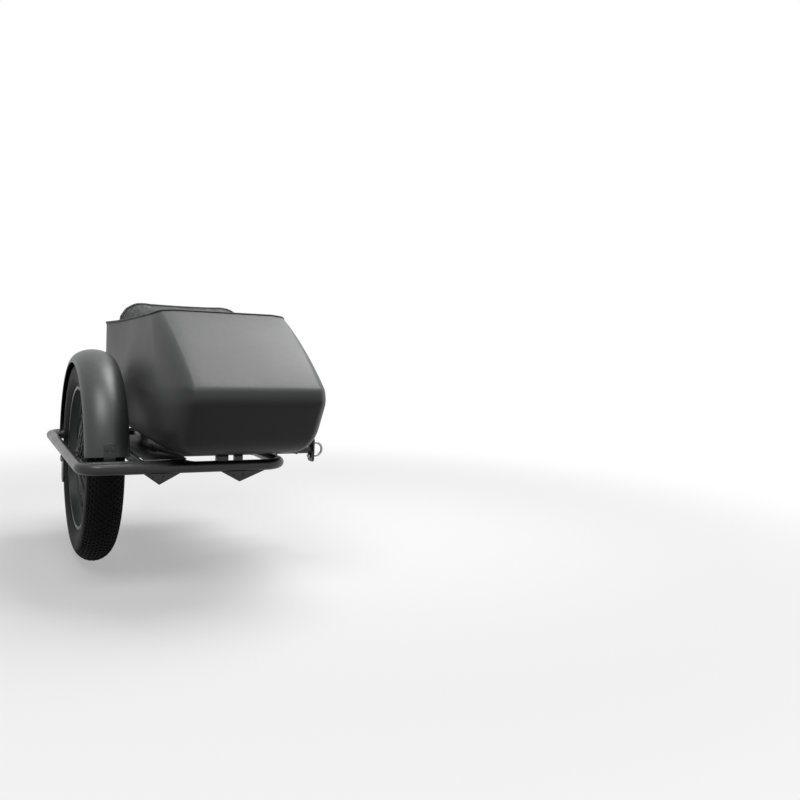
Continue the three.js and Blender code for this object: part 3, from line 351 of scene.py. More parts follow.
def metallic(name, base, rough, lines=(900.0, 40.0, 40.0)):
    material, build, skin = patterned(name, "drawn", {"Line Scale": lines})
    roughness = roughened(build, skin["Smear"], rough - 0.07, rough + 0.1)
    tone = toned(build, skin["Smear"], base, 0.72, 1.18)
    finish_material(build, tone, roughness, skin["Height"], 0.00006, {"Metallic": 1.0})
    return material


def leathery(name, base, rough, cell_scale=520.0):
    material, build, skin = patterned(name, "grain", {"Cell Scale": cell_scale})
    flat = toned(build, skin["Wear"], base, 0.8, 1.25)
    # Painted shade: the creases between the grain cells are darkened to 0.55 of the base colour, on top of
    # their bump.
    tone = build.mixed(build.remapped(skin["Height"], 0, 0.5), shade_of(base, 0.55), flat)
    roughness = roughened(build, skin["Wear"], rough - 0.06, rough + 0.08)
    even = {"Specular IOR Level": 0.45, "Sheen Weight": 0.08, "Sheen Roughness": 0.4}
    finish_material(build, tone, roughness, skin["Height"], 0.00035, even)
    return material


def wooden(name, base):
    """Stained plywood: long figure on the face and plies on the edge."""
    material, build, place = start_material(name)
    figure = build.noise(build.vectors("MULTIPLY", place, (14.0, 120.0, 120.0)), 1.0, 6.0, 0.62)
    up = build.out("ShaderNodeSeparateXYZ", {0: place}, "Z")
    plies = build.sums("SINE", build.sums("MULTIPLY", up, 4200.0))
    height = build.sums("ADD", figure, build.sums("MULTIPLY", plies, 0.1))
    tone = toned(build, build.remapped(height, 0.3, 0.75), base, 0.45, 1.5)
    finish_material(build, tone, roughened(build, figure, 0.55, 0.72), height, 0.0002)
    return material


def woven_lining(name, base):
    """Rough moulded inside, with the print of the glass cloth in it."""
    material, build, place = start_material(name)
    weave = build.out("ShaderNodeTexWave", {"Vector": place, "Scale": 120.0, "Distortion": 2.0}, "Fac")
    strands = build.noise(place, 60.0, 5.0, 0.6)
    height = build.sums("ADD", build.sums("MULTIPLY", weave, 0.4), strands)
    tone = toned(build, strands, base, 0.75, 1.3)
    roughness = roughened(build, strands, 0.6, 0.8)
    finish_material(build, tone, roughness, height, 0.0006, {"Specular IOR Level": 0.35})
    return material


def make_materials():
    tint = bpy.context.scene.sidecar_colours
    MATERIALS.update(
        body=coated("satin charcoal paint", tint.body, rough=0.46, spread=0.05, dust=0.1, peel=0.00005,
                    peel_scale=520.0, tone_scale=4.0, specular=0.22),
        lining=woven_lining("moulded lining", tint.lining),
        coat=coated("satin powder coat", tint.coat, rough=0.33, spread=0.06, dust=0.12, peel=0.00008),
        tread_plate=coated("worn step coat", tint.step, rough=0.45, spread=0.1, dust=0.3, peel=0.00012,
                           peel_scale=500.0, tone_scale=40.0),
        fender=coated("satin fender", tint.fender, rough=0.42, spread=0.04, dust=0.1, peel=0.00004,
                      peel_scale=700.0, tone_scale=5.0, specular=0.7),
        tyre=rubbery("tyre rubber", tint.tyre, rough=0.62, dust=0.2),
        tread=rubbery("tread rubber", tint.tyre, rough=0.7, dust=0.3, pores=0.0003),
        rubber=rubbery("mat rubber", tint.rubber, rough=0.58, dust=0.12),
        trim=rubbery("edge trim rubber", shade_of(tint.rubber, 2.4), rough=0.5, dust=0.12),
        vinyl=leathery("grained vinyl", tint.vinyl, rough=0.42),
        # Painted highlight: the welt's vinyl is 1.7 times lighter than the cover's, so each welt shows as a
        # light line.
        piping=leathery("welt vinyl", shade_of(tint.vinyl, 1.7), rough=0.36, cell_scale=900.0),
        rim=coated("anodised rim", tint.rim, rough=0.4, spread=0.05, dust=0.05, peel=0.00003, metal=0.7),
        steel=metallic("dark zinc steel", tint.steel, rough=0.32),
        spoke=metallic("spoke steel", shade_of(tint.steel, 0.35), rough=0.3, lines=(60.0, 60.0, 60.0)),
        alloy=metallic("turned alloy", tint.alloy, rough=0.3),
        board=wooden("stained plywood", tint.board),
        weld=coated("coated weld", tint.coat, rough=0.4, spread=0.06, dust=0.1, peel=0.0001),
    )


# Meshes


def mesh_object(name, points, faces, edges=()):
    mesh = bpy.data.meshes.new(name)
    mesh.from_pydata([tuple(point) for point in points], list(edges), [tuple(face) for face in faces])
    mesh.validate()
    return linked(name, mesh)


def linked(name, content):
    """A new object in the scene."""
    piece = bpy.data.objects.new(name, content)
    bpy.context.scene.collection.objects.link(piece)
    return piece


def face_outwards(piece):
    work = bmesh.new()
    work.from_mesh(piece.data)
    bmesh.ops.remove_doubles(work, verts=work.verts, dist=1e-6)
    bmesh.ops.recalc_face_normals(work, faces=work.faces)
    work.to_mesh(piece.data)
    work.free()


def smooth(piece, sharp_degrees=35):
    piece.data.polygons.foreach_set("use_smooth", [True] * len(piece.data.polygons))
    piece.data.set_sharp_from_angle(angle=math.radians(sharp_degrees))
    piece.data.update()


def paint(piece, *finishes):
    piece.data.materials.clear()
    for finish in finishes:
        piece.data.materials.append(MATERIALS[finish])


def modifier(piece, kind, **settings):
    made = piece.modifiers.new(kind.title(), kind)
    for name, value in settings.items():
        setattr(made, name, value)
    return made


def settle(piece):
    """Turns the piece and its modifiers into one plain mesh."""
    bpy.context.view_layer.update()
    graph = bpy.context.evaluated_depsgraph_get()
    mesh = bpy.data.meshes.new_from_object(piece.evaluated_get(graph))
    piece.modifiers.clear()
    old = piece.data
    piece.data = mesh
    bpy.data.meshes.remove(old)
    return piece


def seat(piece, body, slot_name, *nodes):
    """Hands a finished piece to the frame."""
    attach(piece, body)
    if nodes:
        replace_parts(piece, *nodes)


def ring_faces(rows, columns, closed_rows=False):
    """Four-sided faces between closed rings of points. The last ring may join the first."""
    faces = []
    for i in range(rows if closed_rows else rows - 1):
        here, onward = i * columns, ((i + 1) % rows) * columns
        for j in range(columns):
            k = (j + 1) % columns
            faces.append((here + j, here + k, onward + k, onward + j))
    return faces


def closed_skin(name, rings):
    """Joins rings of millimetre points into one skin with a flat face on each end ring."""
    rings = np.asarray(rings)
    rows, columns = rings.shape[:2]
    faces = ring_faces(rows, columns)
    faces += [tuple(range(columns)), tuple((rows - 1) * columns + i for i in range(columns))]
    piece = mesh_object(name, [spot(*point) for point in rings.reshape(-1, 3)], faces)
    face_outwards(piece)
    return piece


def full_turn(steps, offset=0.0):
    """Even angles round a circle."""
    return [2 * math.pi * (k + offset) / steps for k in range(steps)]


def radial(angle):
    return Vector((0, math.cos(angle), math.sin(angle)))


def tangent(angle):
    return Vector((0, -math.sin(angle), math.cos(angle)))


def wheel_place(x, radius, angle):
    """A place about the axle, in millimetres from the wheel's foot."""
    return (x, radius * math.cos(angle), WHEEL_RADIUS + radius * math.sin(angle))


def around_wheel(x, radius, angle):
    return spot(*wheel_place(x, radius, angle))


def mirrored(profile):
    return [(-x, radius) for x, radius in profile]


def turned(name, profile, steps, centre=spot(0, 0, WHEEL_RADIUS)):
    """A solid turned about X. Each profile point is (place along X, radius) in millimetres."""
    points = []
    for angle in full_turn(steps):
        for x, radius in profile:
            points.append(centre + Vector((x, radius * math.cos(angle), radius * math.sin(angle))) * MM)
    piece = mesh_object(name, points, ring_faces(steps, len(profile), True))
    face_outwards(piece)
    return piece


def bent_path(corners, radii, steps=14):
    """Straight runs and round bends, in millimetres, as a list of points."""
    points = []
    last = len(corners) - 1
    corners = [Vector(corner) for corner in corners]
    for i, corner in enumerate(corners):
        if i in (0, last):
            points.append(corner)
            continue
        into = (corner - corners[i - 1]).normalized()
        out = (corners[i + 1] - corner).normalized()
        turn = into.angle(out)
        inward = (out - into * into.dot(out)).normalized()
        start = corner - into * radii[i] * math.tan(turn / 2)
        centre = start + inward * radii[i]
        for k in range(steps + 1):
            angle = turn * k / steps
            points.append(centre - inward * radii[i] * math.cos(angle) + into * radii[i] * math.sin(angle))
    return points


def between(first, last, runs):
    """The points that part a straight line into even runs, without its ends."""
    return [tuple(a + (b - a) * k / runs for a, b in zip(first, last)) for k in range(1, runs)]


def flattened(value, power):
    return math.copysign(abs(value) ** power, value)


def corner_points(centre_x, centre_y, width, long, quarter, steps, power=1.0):
    """A quarter of an ellipse. A power over 1 cuts its corner a little."""
    points = []
    for k in range(steps + 1):
        angle = (quarter + k / steps) * math.pi / 2
        across, forward = flattened(math.cos(angle), power), flattened(math.sin(angle), power)
        points.append((centre_x + width * across, centre_y + long * forward))
    return points


def joined_corners(corners, runs):
    """Corner arcs in a row, and the straight lines between them, as one closed outline."""
    outline = []
    for arc, onward in zip(corners, [*corners[1:], corners[0]]):
        outline += [*arc, *between(arc[-1], onward[0], runs)]
    return outline


# Geometry trees for what repeats or follows a path


def tube_shape(build, inlet):
    """A round bar along each chain of edges."""
    line = build.out("GeometryNodeMeshToCurve", {"Mesh": inlet["Geometry"]})
    return swept_ring(build, line, inlet["Sides"], inlet["Radius"])


def swept_ring(build, line, sides, radius):
    """A round bar along a curve."""
    ring = build.out("GeometryNodeCurvePrimitiveCircle", {"Resolution": sides, "Radius": radius}, "Curve")
    return build.out("GeometryNodeCurveToMesh", {"Curve": line, "Profile Curve": ring, "Fill Caps": True})


def copies_shape(build, inlet):
    """One copy of a shape at each point, turned by the point's own facing and run directions."""
    shape = build.out("GeometryNodeObjectInfo", {"Object": inlet["Shape"]}, "Geometry")
    facing, run = (
        build.out("GeometryNodeInputNamedAttribute", {"Name": name}, data_type="FLOAT_VECTOR")
        for name in ("facing", "run")
    )
    upright = build.out("FunctionNodeAlignRotationToVector", {"Vector": facing}, axis="Z")
    feeds = {"Rotation": upright, "Vector": run}
    turned_to = build.out("FunctionNodeAlignRotationToVector", feeds, axis="X", pivot_axis="Z")
    feeds = {"Points": inlet["Geometry"], "Instance": shape, "Rotation": turned_to, "Scale": inlet["Size"]}
    return build.out("GeometryNodeInstanceOnPoints", feeds)


def ribs_shape(build, inlet):
    """Evenly spaced round ribs across a rectangle that lies flat."""
    ends = []
    for side, axis in (("Width", "X"), ("Length", "Y")):
        half = build.sums("MULTIPLY", inlet[side], 0.5)
        low = build.out("ShaderNodeCombineXYZ", {axis: build.sums("MULTIPLY", half, -1.0)})
        ends += [low, build.out("ShaderNodeCombineXYZ", {axis: half})]
    left, right, near, far = ends
    rib = build.out("GeometryNodeCurvePrimitiveLine", {"Start": left, "End": right})
    bar_shape = swept_ring(build, rib, 10, inlet["Rib Radius"])
    feeds = {"Count": inlet["Ribs"], "Start Location": near, "Offset": far}
    rows = build.out("GeometryNodeMeshLine", feeds, mode="END_POINTS")
    laid = build.out("GeometryNodeInstanceOnPoints", {"Points": rows, "Instance": bar_shape})
    return build.out("GeometryNodeTransform", {"Geometry": laid, "Translation": inlet["Centre"]})


SHAPES = {
    # key: title, inlets with their socket kinds and defaults, and what makes the shape
    "tube": ("Round bar along edges", {"Radius": ("Float", 0.01), "Sides": ("Int", 24)}, tube_shape),
    "copies": ("Copies on places", {"Shape": ("Object", None), "Size": ("Float", 1.0)}, copies_shape),
    "ribs": (
        "Ribs across a mat",
        {"Width": ("Float", 0.3), "Length": ("Float", 0.3), "Centre": ("Vector", (0, 0, 0)),
         "Ribs": ("Int", 20), "Rib Radius": ("Float", 0.002)},
        ribs_shape,
    ),
}
TREES = {}


def shape_tree(title, inlets, make):
    """Builds one of the shapes as a geometry tree, with a finish on what it makes."""
    tree = bpy.data.node_groups.new(title, "GeometryNodeTree")
    build = Tree(tree)
    build.inlet("Geometry", "Geometry")
    build.outlet("Geometry", "Geometry")
    for name, (kind, default) in inlets.items():
        build.inlet(name, kind, default)
    build.inlet("Finish", "Material")
    inlet = build.add("NodeGroupInput").outputs
    real = build.out("GeometryNodeRealizeInstances", {"Geometry": make(build, inlet)})
    painted = build.out("GeometryNodeSetMaterial", {"Geometry": real, "Material": inlet["Finish"]})
    build.add("NodeGroupOutput", {"Geometry": painted})
    return tree


def grow(piece, key, finish, **inputs):
    """Runs a geometry tree on the piece and keeps its result as a plain mesh."""
    if key not in TREES:
        TREES[key] = shape_tree(*SHAPES[key])
    tree = TREES[key]
    nodes = modifier(piece, "NODES", node_group=tree)
    named = {item.name: item.identifier for item in tree.interface.items_tree if item.in_out == "INPUT"}
    nodes[named["Finish"]] = MATERIALS[finish]
    for name, value in inputs.items():
        nodes[named[name.replace("_", " ").title()]] = value
    settle(piece)


def bar(name, paths, radius, finish, sides=None):
    """A round bar along each path of millimetre points."""
    points, edges = [], []
    for path in paths:
        first = len(points)
        points += [spot(*point) for point in path]
        edges += [(first + i, first + i + 1) for i in range(len(path) - 1)]
    piece = mesh_object(name, points, [], edges)
    grow(piece, "tube", finish, radius=radius, sides=sides or counts().tube_sides)
    face_outwards(piece)
    smooth(piece)
    return piece


def copies(name, places, shape, finish, sharp=35):
    """One copy of shape at each place, a tuple of its point, facing and run, in the frame's metres."""
    piece = mesh_object(name, [place[0] for place in places], [])
    for column, title in ((1, "facing"), (2, "run")):
        attribute = piece.data.attributes.new(title, "FLOAT_VECTOR", "POINT")
        attribute.data.foreach_set("vector", [part for place in places for part in place[column]])
    grow(piece, "copies", finish, shape=shape)
    bpy.data.objects.remove(shape)
    smooth(piece, sharp)
    return piece


def shape_from(make, **settings):
    """A small shape that a tree repeats, drawn by make in a new bmesh."""
    work = bmesh.new()
    make(work, **settings)
    mesh = bpy.data.meshes.new("shape")
    work.to_mesh(mesh)
    work.free()
    return linked("shape", mesh)


def tread_block(work, size, taper, rounding):
    """A tread knob that stands on the origin, narrower on top, with rounded edges."""
    for vert in bmesh.ops.create_cube(work, size=1.0)["verts"]:
        x, y, z = vert.co
        share = taper if z > 0 else 1.0
        vert.co = (x * size[0] * share, y * size[1] * share, (z + 0.5) * size[2])
    upper = [edge for edge in work.edges if max(v.co.z for v in edge.verts) > size[2] / 2]
    bmesh.ops.bevel(work, geom=upper, offset=rounding, segments=1, affect="EDGES")
    hidden = [face for face in work.faces if max(v.co.z for v in face.verts) < 1e-6]
    bmesh.ops.delete(work, geom=hidden, context="FACES")


def stacked_rings(work, rings, sides):
    """A closed solid about Z, from the radius and height of each of its rings."""
    loops = []
    for radius, z in rings:
        ring = [(radius * math.cos(angle), radius * math.sin(angle), z) for angle in full_turn(sides)]
        loops.append([work.verts.new(point) for point in ring])
    for lower, upper in zip(loops, loops[1:]):
        for k in range(sides):
            onward = (k + 1) % sides
            work.faces.new((lower[k], lower[onward], upper[onward], upper[k]))
    work.faces.new(loops[-1])
    work.faces.new(list(reversed(loops[0])))


def hex_bolt(work, across, height, washer):
    """A hex head on a washer, facing +Z and standing on the origin."""
    foot, step = height * 0.2, height * 0.1
    for radius, low, high, sides in ((washer, 0, foot, 24), (across / 2, foot, height, 6)):
        stacked_rings(work, [(radius, low), (radius, high - step), (radius - step, high)], sides)


def spoke_nipple(work):
    """An eight-sided shank with a wider collar, pointing along +Z."""
    rings = ((1.4, 0), (2.0, 0.6), (2.0, 8.5), (2.9, 10.4), (2.9, 12.6))
    stacked_rings(work, [(radius * MM, z * MM) for radius, z in rings], 8)


def drop(radius):
    """A small ball, for the head of a spoke or, once pressed flat, the ripple of a weld."""
    return shape_from(bmesh.ops.create_icosphere, subdivisions=2, radius=radius)


# Body shell, in millimetres from the wheel's foot

BODY = {
    "x": 325, "half": 230, "bottom": 362, "wall": 4, "deck_y": -195, "deck_z": 741, "narrowing": 33,
    "crease_y": -560, "crease_z": 532, "chin_y": -465, "chin_bend": 100, "crease_bend": 35, "crown": 15,
    "bilge": 77, "rear_y": 420, "rear_z": 698, "rear_corner": 38, "rear_bilge": 38,
    "crease_corner": (68, 205), "deck_corner": (22, 60), "chin_share": 0.4, "corner_power": 1.18,
    "even_rise": 0.4, "lift_width": 80, "rear_steps": 8, "front_steps": 22, "runs": 12,
}


def within_one(share):
    return min(1.0, max(0.0, share))


def deck_share(z):
    return within_one((z - BODY["crease_z"]) / (BODY["deck_z"] - BODY["crease_z"]))


def rim_rise(x, y):
    """How high the rim is, where x counts from the body's middle. Part of its rise is across each corner."""
    share = within_one((BODY["rear_y"] - y) / (BODY["rear_y"] - BODY["deck_y"]))
    inward = within_one((BODY["half"] - abs(x)) / BODY["lift_width"])
    rise = BODY["even_rise"] + (1 - BODY["even_rise"]) * math.sin(inward * math.pi / 2)
    return BODY["rear_z"] + (BODY["deck_z"] - BODY["rear_z"]) * share * rise


def quarter_inset(radius, height):
    below = max(0.0, radius - height)
    return radius - math.sqrt(radius**2 - below**2)


def nose_stations(step=14):
    """The nose seen from the side: (y, z) from the flat bottom up to the deck's edge."""
    corners = [(0, BODY["deck_y"], BODY["bottom"]), (0, BODY["chin_y"], BODY["bottom"])]
    corners += [(0, BODY["crease_y"], BODY["crease_z"]), (0, BODY["deck_y"], BODY["deck_z"])]
    path = bent_path(corners, [0, BODY["chin_bend"], BODY["crease_bend"], 0], 10)[1:]
    stations = [path[0]]
    for point in path[1:]:
        runs = max(1, int((point - stations[-1]).length // step))
        start = stations[-1]
        stations += [start.lerp(point, k / runs) for k in range(1, runs + 1)]
    outward = Vector((0, BODY["crease_z"] - BODY["deck_z"], BODY["deck_y"] - BODY["crease_y"])).normalized()
    crowned = []
    for point in stations:
        share = deck_share(point.z)
        crowned.append(point + outward * BODY["crown"] * 4 * share * (1 - share))
    return [(point.y, point.z) for point in crowned]


def body_ring(front, z):
    """One level of the body seen from above, anticlockwise, as millimetre points."""
    inset = quarter_inset(BODY["bilge"], z - BODY["bottom"])
    half = BODY["half"] - inset
    share = deck_share(z)
    nose_half = half - BODY["narrowing"] * share
    round_share = 1 - inset / BODY["bilge"] * (1 - BODY["chin_share"])
    blend = [a + (b - a) * share for a, b in zip(BODY["crease_corner"], BODY["deck_corner"])]
    width, long = (value * round_share for value in blend)
    rear = BODY["rear_y"] - quarter_inset(BODY["rear_bilge"], z - BODY["bottom"])
    corner = BODY["rear_corner"]
    back = (rear - corner, corner, corner)
    nose = (front + long, width, long)
    power = BODY["corner_power"]
    outline = joined_corners([
        corner_points(half - corner, *back, 0, BODY["rear_steps"]),
        corner_points(corner - half, *back, 1, BODY["rear_steps"]),
        corner_points(width - nose_half, *nose, 2, BODY["front_steps"], power),
        corner_points(nose_half - width, *nose, 3, BODY["front_steps"], power),
    ], BODY["runs"])
    rise = (z - BODY["bottom"]) / (BODY["deck_z"] - BODY["bottom"])
    return [(BODY["x"] + x, y, BODY["bottom"] + rise * (rim_rise(x, y) - BODY["bottom"])) for x, y in outline]


def body_levels():
    return np.array([body_ring(y, z) for y, z in nose_stations()])


def outward_normals(levels):
    sideways = np.roll(levels, -1, 1) - np.roll(levels, 1, 1)
    upward = np.gradient(levels, axis=0)
    normals = np.cross(sideways, upward)
    return normals / np.linalg.norm(normals, axis=2, keepdims=True)


class SIDECAR_OT_body(bpy.types.Operator):
    """Moulded body shell with its sloping front panel, one even wall and a rough lining"""

    bl_idname = "sidecar.body"
    bl_label = "Body shell"

    def execute(self, context):
        levels = body_levels()
        inside = levels - outward_normals(levels) * BODY["wall"]
        inside[0] = levels[0]
        inside[0, :, 2] = BODY["bottom"] + BODY["wall"]
        shell = closed_skin("moulded_body", np.concatenate([levels, inside[::-1]]))
        paint(shell, "body", "lining")
        points = [tuple(spot(*point)) for point in levels.reshape(-1, 3)]
        outside = BVHTree.FromPolygons(points, ring_faces(*levels.shape[:2]))
        for face in shell.data.polygons:
            on_skin = outside.find_nearest(face.center)[3] < BODY["wall"] * MM * 0.8
            on_bottom = abs(face.center.z + WHEEL_FOOT.z - BODY["bottom"] * MM) < MM
            face.material_index = 0 if on_skin or on_bottom else 1
        smooth(shell, 50)
        seat(shell, "chassis", "body", "body_shell")
        return {"FINISHED"}


class SIDECAR_OT_trim(bpy.types.Operator):
    """Rubber edge trim pressed over the rim of the cockpit"""

    bl_idname = "sidecar.trim"
    bl_label = "Cockpit trim"

    def execute(self, context):
        levels = body_levels()
        out = outward_normals(levels)[-1]
        rim = levels[-1]
        inner = rim - out * BODY["wall"]
        up = rim - levels[-2]
        up /= np.linalg.norm(up, axis=1, keepdims=True)
        lap, bulge, leg, shoulder, gap = 2.6, 2.9, 4.5, 0.8, 0.6
        # Each corner of the section: the face it starts from, and how far it goes sideways and up
        section = [(rim, lap, -leg), (rim, bulge, -leg / 2), (rim, lap, shoulder), (rim, lap / 2, lap)]
        section += [(inner, -x, z) for _, x, z in reversed(section)]
        section += [(inner, -gap, -leg), (inner, -gap, gap), (rim, gap, gap), (rim, gap, -leg)]
        loops = np.stack([face + out * sideways + up * rise for face, sideways, rise in section], axis=1)
        points = [spot(*point) for point in loops.reshape(-1, 3)]
        trim = mesh_object("edge_trim", points, ring_faces(*loops.shape[:2], True))
        face_outwards(trim)
        paint(trim, "trim")
        smooth(trim, 50)
        seat(trim, "chassis", "rubber", "cockpit_trim")
        return {"FINISHED"}


# Frame tubes, the hitch's yoke and their welds, in millimetres from the wheel's foot

SIDE = 77
FRONT, REAR, INNER = 382, 375, 330
BODY_RAIL, BIKE_RAIL, RAIL_ENDS = 190, 458, 75
SEAM_GAP = 0.15
HITCH_YS = (-120, 40)
HITCH_TIE, HITCH_PIVOT, HITCH_FACE = 596, 508, 648
EYE_BORE, EYE_RADIUS, EYE_HALF = 5.4, 15.0, 19.0
WELD_PITCH = 2.4
WELD_LEAN = 0.6
RIPPLE_SHAPE = Vector((1.15, 1.1, 0.62))


def level_path(corners, radii=(0, 0)):
    return bent_path([(x, y, TUBE_HEIGHT) for x, y in corners], radii)


def tube_runs():
    """Every frame tube: its name, the node that it stands for, its radius and its path."""
    big, small = sizes().bumper_radius, sizes().rail_radius
    runs = []
    for word, side, outer in (("front", -1, FRONT), ("rear", 1, REAR)):
        seam = side * SEAM_GAP
        corners = [(-SIDE, seam), (-SIDE, side * outer), (BIKE_RAIL, side * outer), (BIKE_RAIL, seam)]
        runs.append((f"{word}_bumper", f"{word}_bumper_tube", big, level_path(corners, [0, 48, 62, 0])))
        tie = level_path([(-SIDE, side * INNER), (BODY_RAIL, side * INNER)])
        runs.append((f"{word}_tie", f"{word}_inner_tube", small, tie))
    ends = BODY_RAIL + RAIL_ENDS
    corners = [(ends, -FRONT), (BODY_RAIL, -FRONT), (BODY_RAIL, REAR), (ends, REAR)]
    runs.append(("long_rail", "body_rail", small, level_path(corners, [0, 60, 60, 0])))
    runs.append(("near_rail", "wheel_rail", small, level_path([(SIDE, -INNER), (SIDE, INNER)])))
    for word, y in zip(("front", "rear"), HITCH_YS):
        for kind, start, end in (("stub", SIDE, BODY_RAIL), ("cross", BODY_RAIL, BIKE_RAIL)):
            runs.append((f"{word}_{kind}", f"{kind}_tube_{word}", small, level_path([(start, y), (end, y)])))
    return runs


def weld_joints():
    """Where one tube ends on another: x, y, its direction, the other's radius and its own."""
    big, small = sizes().bumper_radius / MM, sizes().rail_radius / MM
    joints = []
    for y in (-INNER, INNER):
        joints += [(-SIDE, y, (1, 0), big, small), (BODY_RAIL, y, (-1, 0), small, small)]
        joints.append((SIDE, y, (0, -math.copysign(1, y)), small, small))
    for y in HITCH_YS:
        joints += [(SIDE, y, (1, 0), small, small), (BODY_RAIL, y, (-1, 0), small, small)]
        joints += [(BODY_RAIL, y, (1, 0), small, small), (BIKE_RAIL, y, (-1, 0), big, small)]
    return joints


def saddle_weld(x, y, heading, other, own):
    """Places along the saddle where two tubes meet, with the way out of the tubes and along the weld."""
    ahead = Vector((heading[0], heading[1], 0))
    across = Vector((-heading[1], heading[0], 0))
    points = []
    for angle in full_turn(int(2 * math.pi * own / WELD_PITCH)):
        out = across * math.cos(angle) + UP * math.sin(angle)
        reached = math.sqrt(max(0.0, other**2 - (own * math.sin(angle)) ** 2))
        point = spot(x, y, TUBE_HEIGHT) + (ahead * reached + out * own) * MM
        points.append((point, (out + ahead * WELD_LEAN).normalized()))
    onward = [*points[1:], points[0]]
    return [(here, facing, (there - here).normalized()) for (here, facing), (there, _) in zip(points, onward)]


def plate_weld(x, y, radius):
    """Places of the weld round a tube along X that ends on a plate across it."""
    places = []
    for angle in full_turn(int(2 * math.pi * radius / WELD_PITCH)):
        out = radial(angle)
        point = spot(x, y, TUBE_HEIGHT) + out * radius * MM
        places.append((point, (out - ALONG_X).normalized(), tangent(angle)))
    return places


def weld(name, places, body):
    """A weld of flat drops of metal."""
    ripple = drop(sizes().weld_radius)
    for vert in ripple.data.vertices:
        vert.co *= RIPPLE_SHAPE
    seat(copies(name, places, ripple, "weld"), body, "frame")


def hitch_eye(y):
    """The yoke's eye on one hitch pin, a short tube along Y."""
    centre = spot(HITCH_PIVOT, y, TUBE_HEIGHT)
    half = [(EYE_HALF - 1, EYE_RADIUS), (EYE_HALF, EYE_RADIUS - 1), (EYE_HALF, EYE_BORE)]
    profile = [*mirrored(reversed(half)), *half]
    eye = turned(f"eye_{y}", profile, 32, centre)
    turn = Matrix.Translation(centre) @ Matrix.Rotation(math.pi / 2, 4, "Z")
    eye.data.transform(turn @ Matrix.Translation(-centre))
    return eye


def join(pieces):
    """Joins pieces into the first of them."""
    work = bmesh.new()
    for piece in pieces:
        work.from_mesh(piece.data)
    work.to_mesh(pieces[0].data)
    work.free()
    for piece in pieces[1:]:
        bpy.data.objects.remove(piece)
    smooth(pieces[0], 30)


class SIDECAR_OT_tubes(bpy.types.Operator):
    """Bent frame tubes, with a rippled weld where one tube ends on another"""

    bl_idname = "sidecar.tubes"
    bl_label = "Frame tubes"

    def execute(self, context):
        for name, node, radius, path in tube_runs():
            seat(bar(name, [path], radius, "coat"), "chassis", "frame", node)
        weld("frame_welds", [place for joint in weld_joints() for place in saddle_weld(*joint)], "chassis")
        return {"FINISHED"}


class SIDECAR_OT_yoke(bpy.types.Operator):
    """Welded yoke that leans on the hitch pins"""

    bl_idname = "sidecar.yoke"
    bl_label = "Hitch yoke"

    def execute(self, context):
        own = sizes().rail_radius
        inside_eye, at_plate = HITCH_PIVOT + 6, HITCH_FACE - 6.2
        arms = [[(inside_eye, y, TUBE_HEIGHT), (at_plate, y, TUBE_HEIGHT)] for y in HITCH_YS]
        tie = [(HITCH_TIE, y, TUBE_HEIGHT) for y in HITCH_YS]
        yoke = bar("leaning_yoke", [*arms, tie], own, "coat")
        join([yoke, *[hitch_eye(y) for y in HITCH_YS]])
        seat(yoke, "hitch", "frame", "hitch_yoke")
        own /= MM
        places = []
        for y, inward in zip(HITCH_YS, (1, -1)):
            places += saddle_weld(HITCH_TIE, y, (0, inward), own, own)
            places += saddle_weld(HITCH_PIVOT, y, (1, 0), EYE_RADIUS, own)
            places += plate_weld(HITCH_FACE - 6, y, own)
        weld("yoke_welds", places, "hitch")
        return {"FINISHED"}


# Plates and fasteners

OWN_FINISH = {"step_plate": "tread_plate"}
KEPT_ROUND = (
    "axle", "bearing_outer", "bearing_inner", "inner_tube", "valve", "axle_spacer_outer", "axle_spacer_inner",
)


def soft_edged(node, finish, edge):
    """A copy of a node's solid with its edges rounded, as a formed and coated plate has."""
    copy = linked(f"{node}_formed", frame["nodes"][node].data.copy())
    work = bmesh.new()
    work.from_mesh(copy.data)
    bmesh.ops.remove_doubles(work, verts=work.verts, dist=2e-6)
    bmesh.ops.dissolve_limit(work, angle_limit=math.radians(1), verts=work.verts, edges=work.edges)
    work.to_mesh(copy.data)
    work.free()
    modifier(copy, "BEVEL", width=edge, segments=2, limit_method="ANGLE", angle_limit=math.radians(40),
             harden_normals=False, use_clamp_overlap=True)
    settle(copy)
    paint(copy, finish)
    smooth(copy, 40)
    return copy


class SIDECAR_OT_plates(bpy.types.Operator):
    """Plates, lugs, brackets, mounts, pads, boards, nuts and pins, with rounded edges"""

    bl_idname = "sidecar.plates"
    bl_label = "Plates and brackets"

    def execute(self, context):
        already = set()
        for piece in bpy.data.objects:
            already.update(piece.get("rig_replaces", []))
        for node, slot_name in SLOT_OF_NODE.items():
            if node in already:
                continue
            finish = OWN_FINISH.get(node, "coat" if slot_name == "frame" else slot_name)
            if node in KEPT_ROUND:
                paint(frame["nodes"][node], finish)
            else:
                seat(soft_edged(node, finish, sizes().edge_radius), BODY_OF_NODE[node], slot_name, node)
        return {"FINISHED"}


class SIDECAR_OT_fasteners(bpy.types.Operator):
    """Bolts through the fender at its brackets and at the head of its stay"""

    bl_idname = "sidecar.fasteners"
    bl_label = "Fasteners"

    def execute(self, context):
        foot_angle, fender_face, stay_face = math.radians(12.2), 320.9, 61.2
        places = []
        for angle in (math.pi - foot_angle, foot_angle):
            places += [(around_wheel(x, fender_face, angle), radial(angle), ALONG_X) for x in (-8, 8)]
        places += [(spot(stay_face, 0, z), ALONG_X, UP) for z in (565, 581)]
        head = shape_from(hex_bolt, across=9 * MM, height=3.4 * MM, washer=5.5 * MM)
        seat(copies("fender_bolts", places, head, "coat"), "chassis", "frame")
        return {"FINISHED"}


# Wheel and fender, in millimetres and degrees

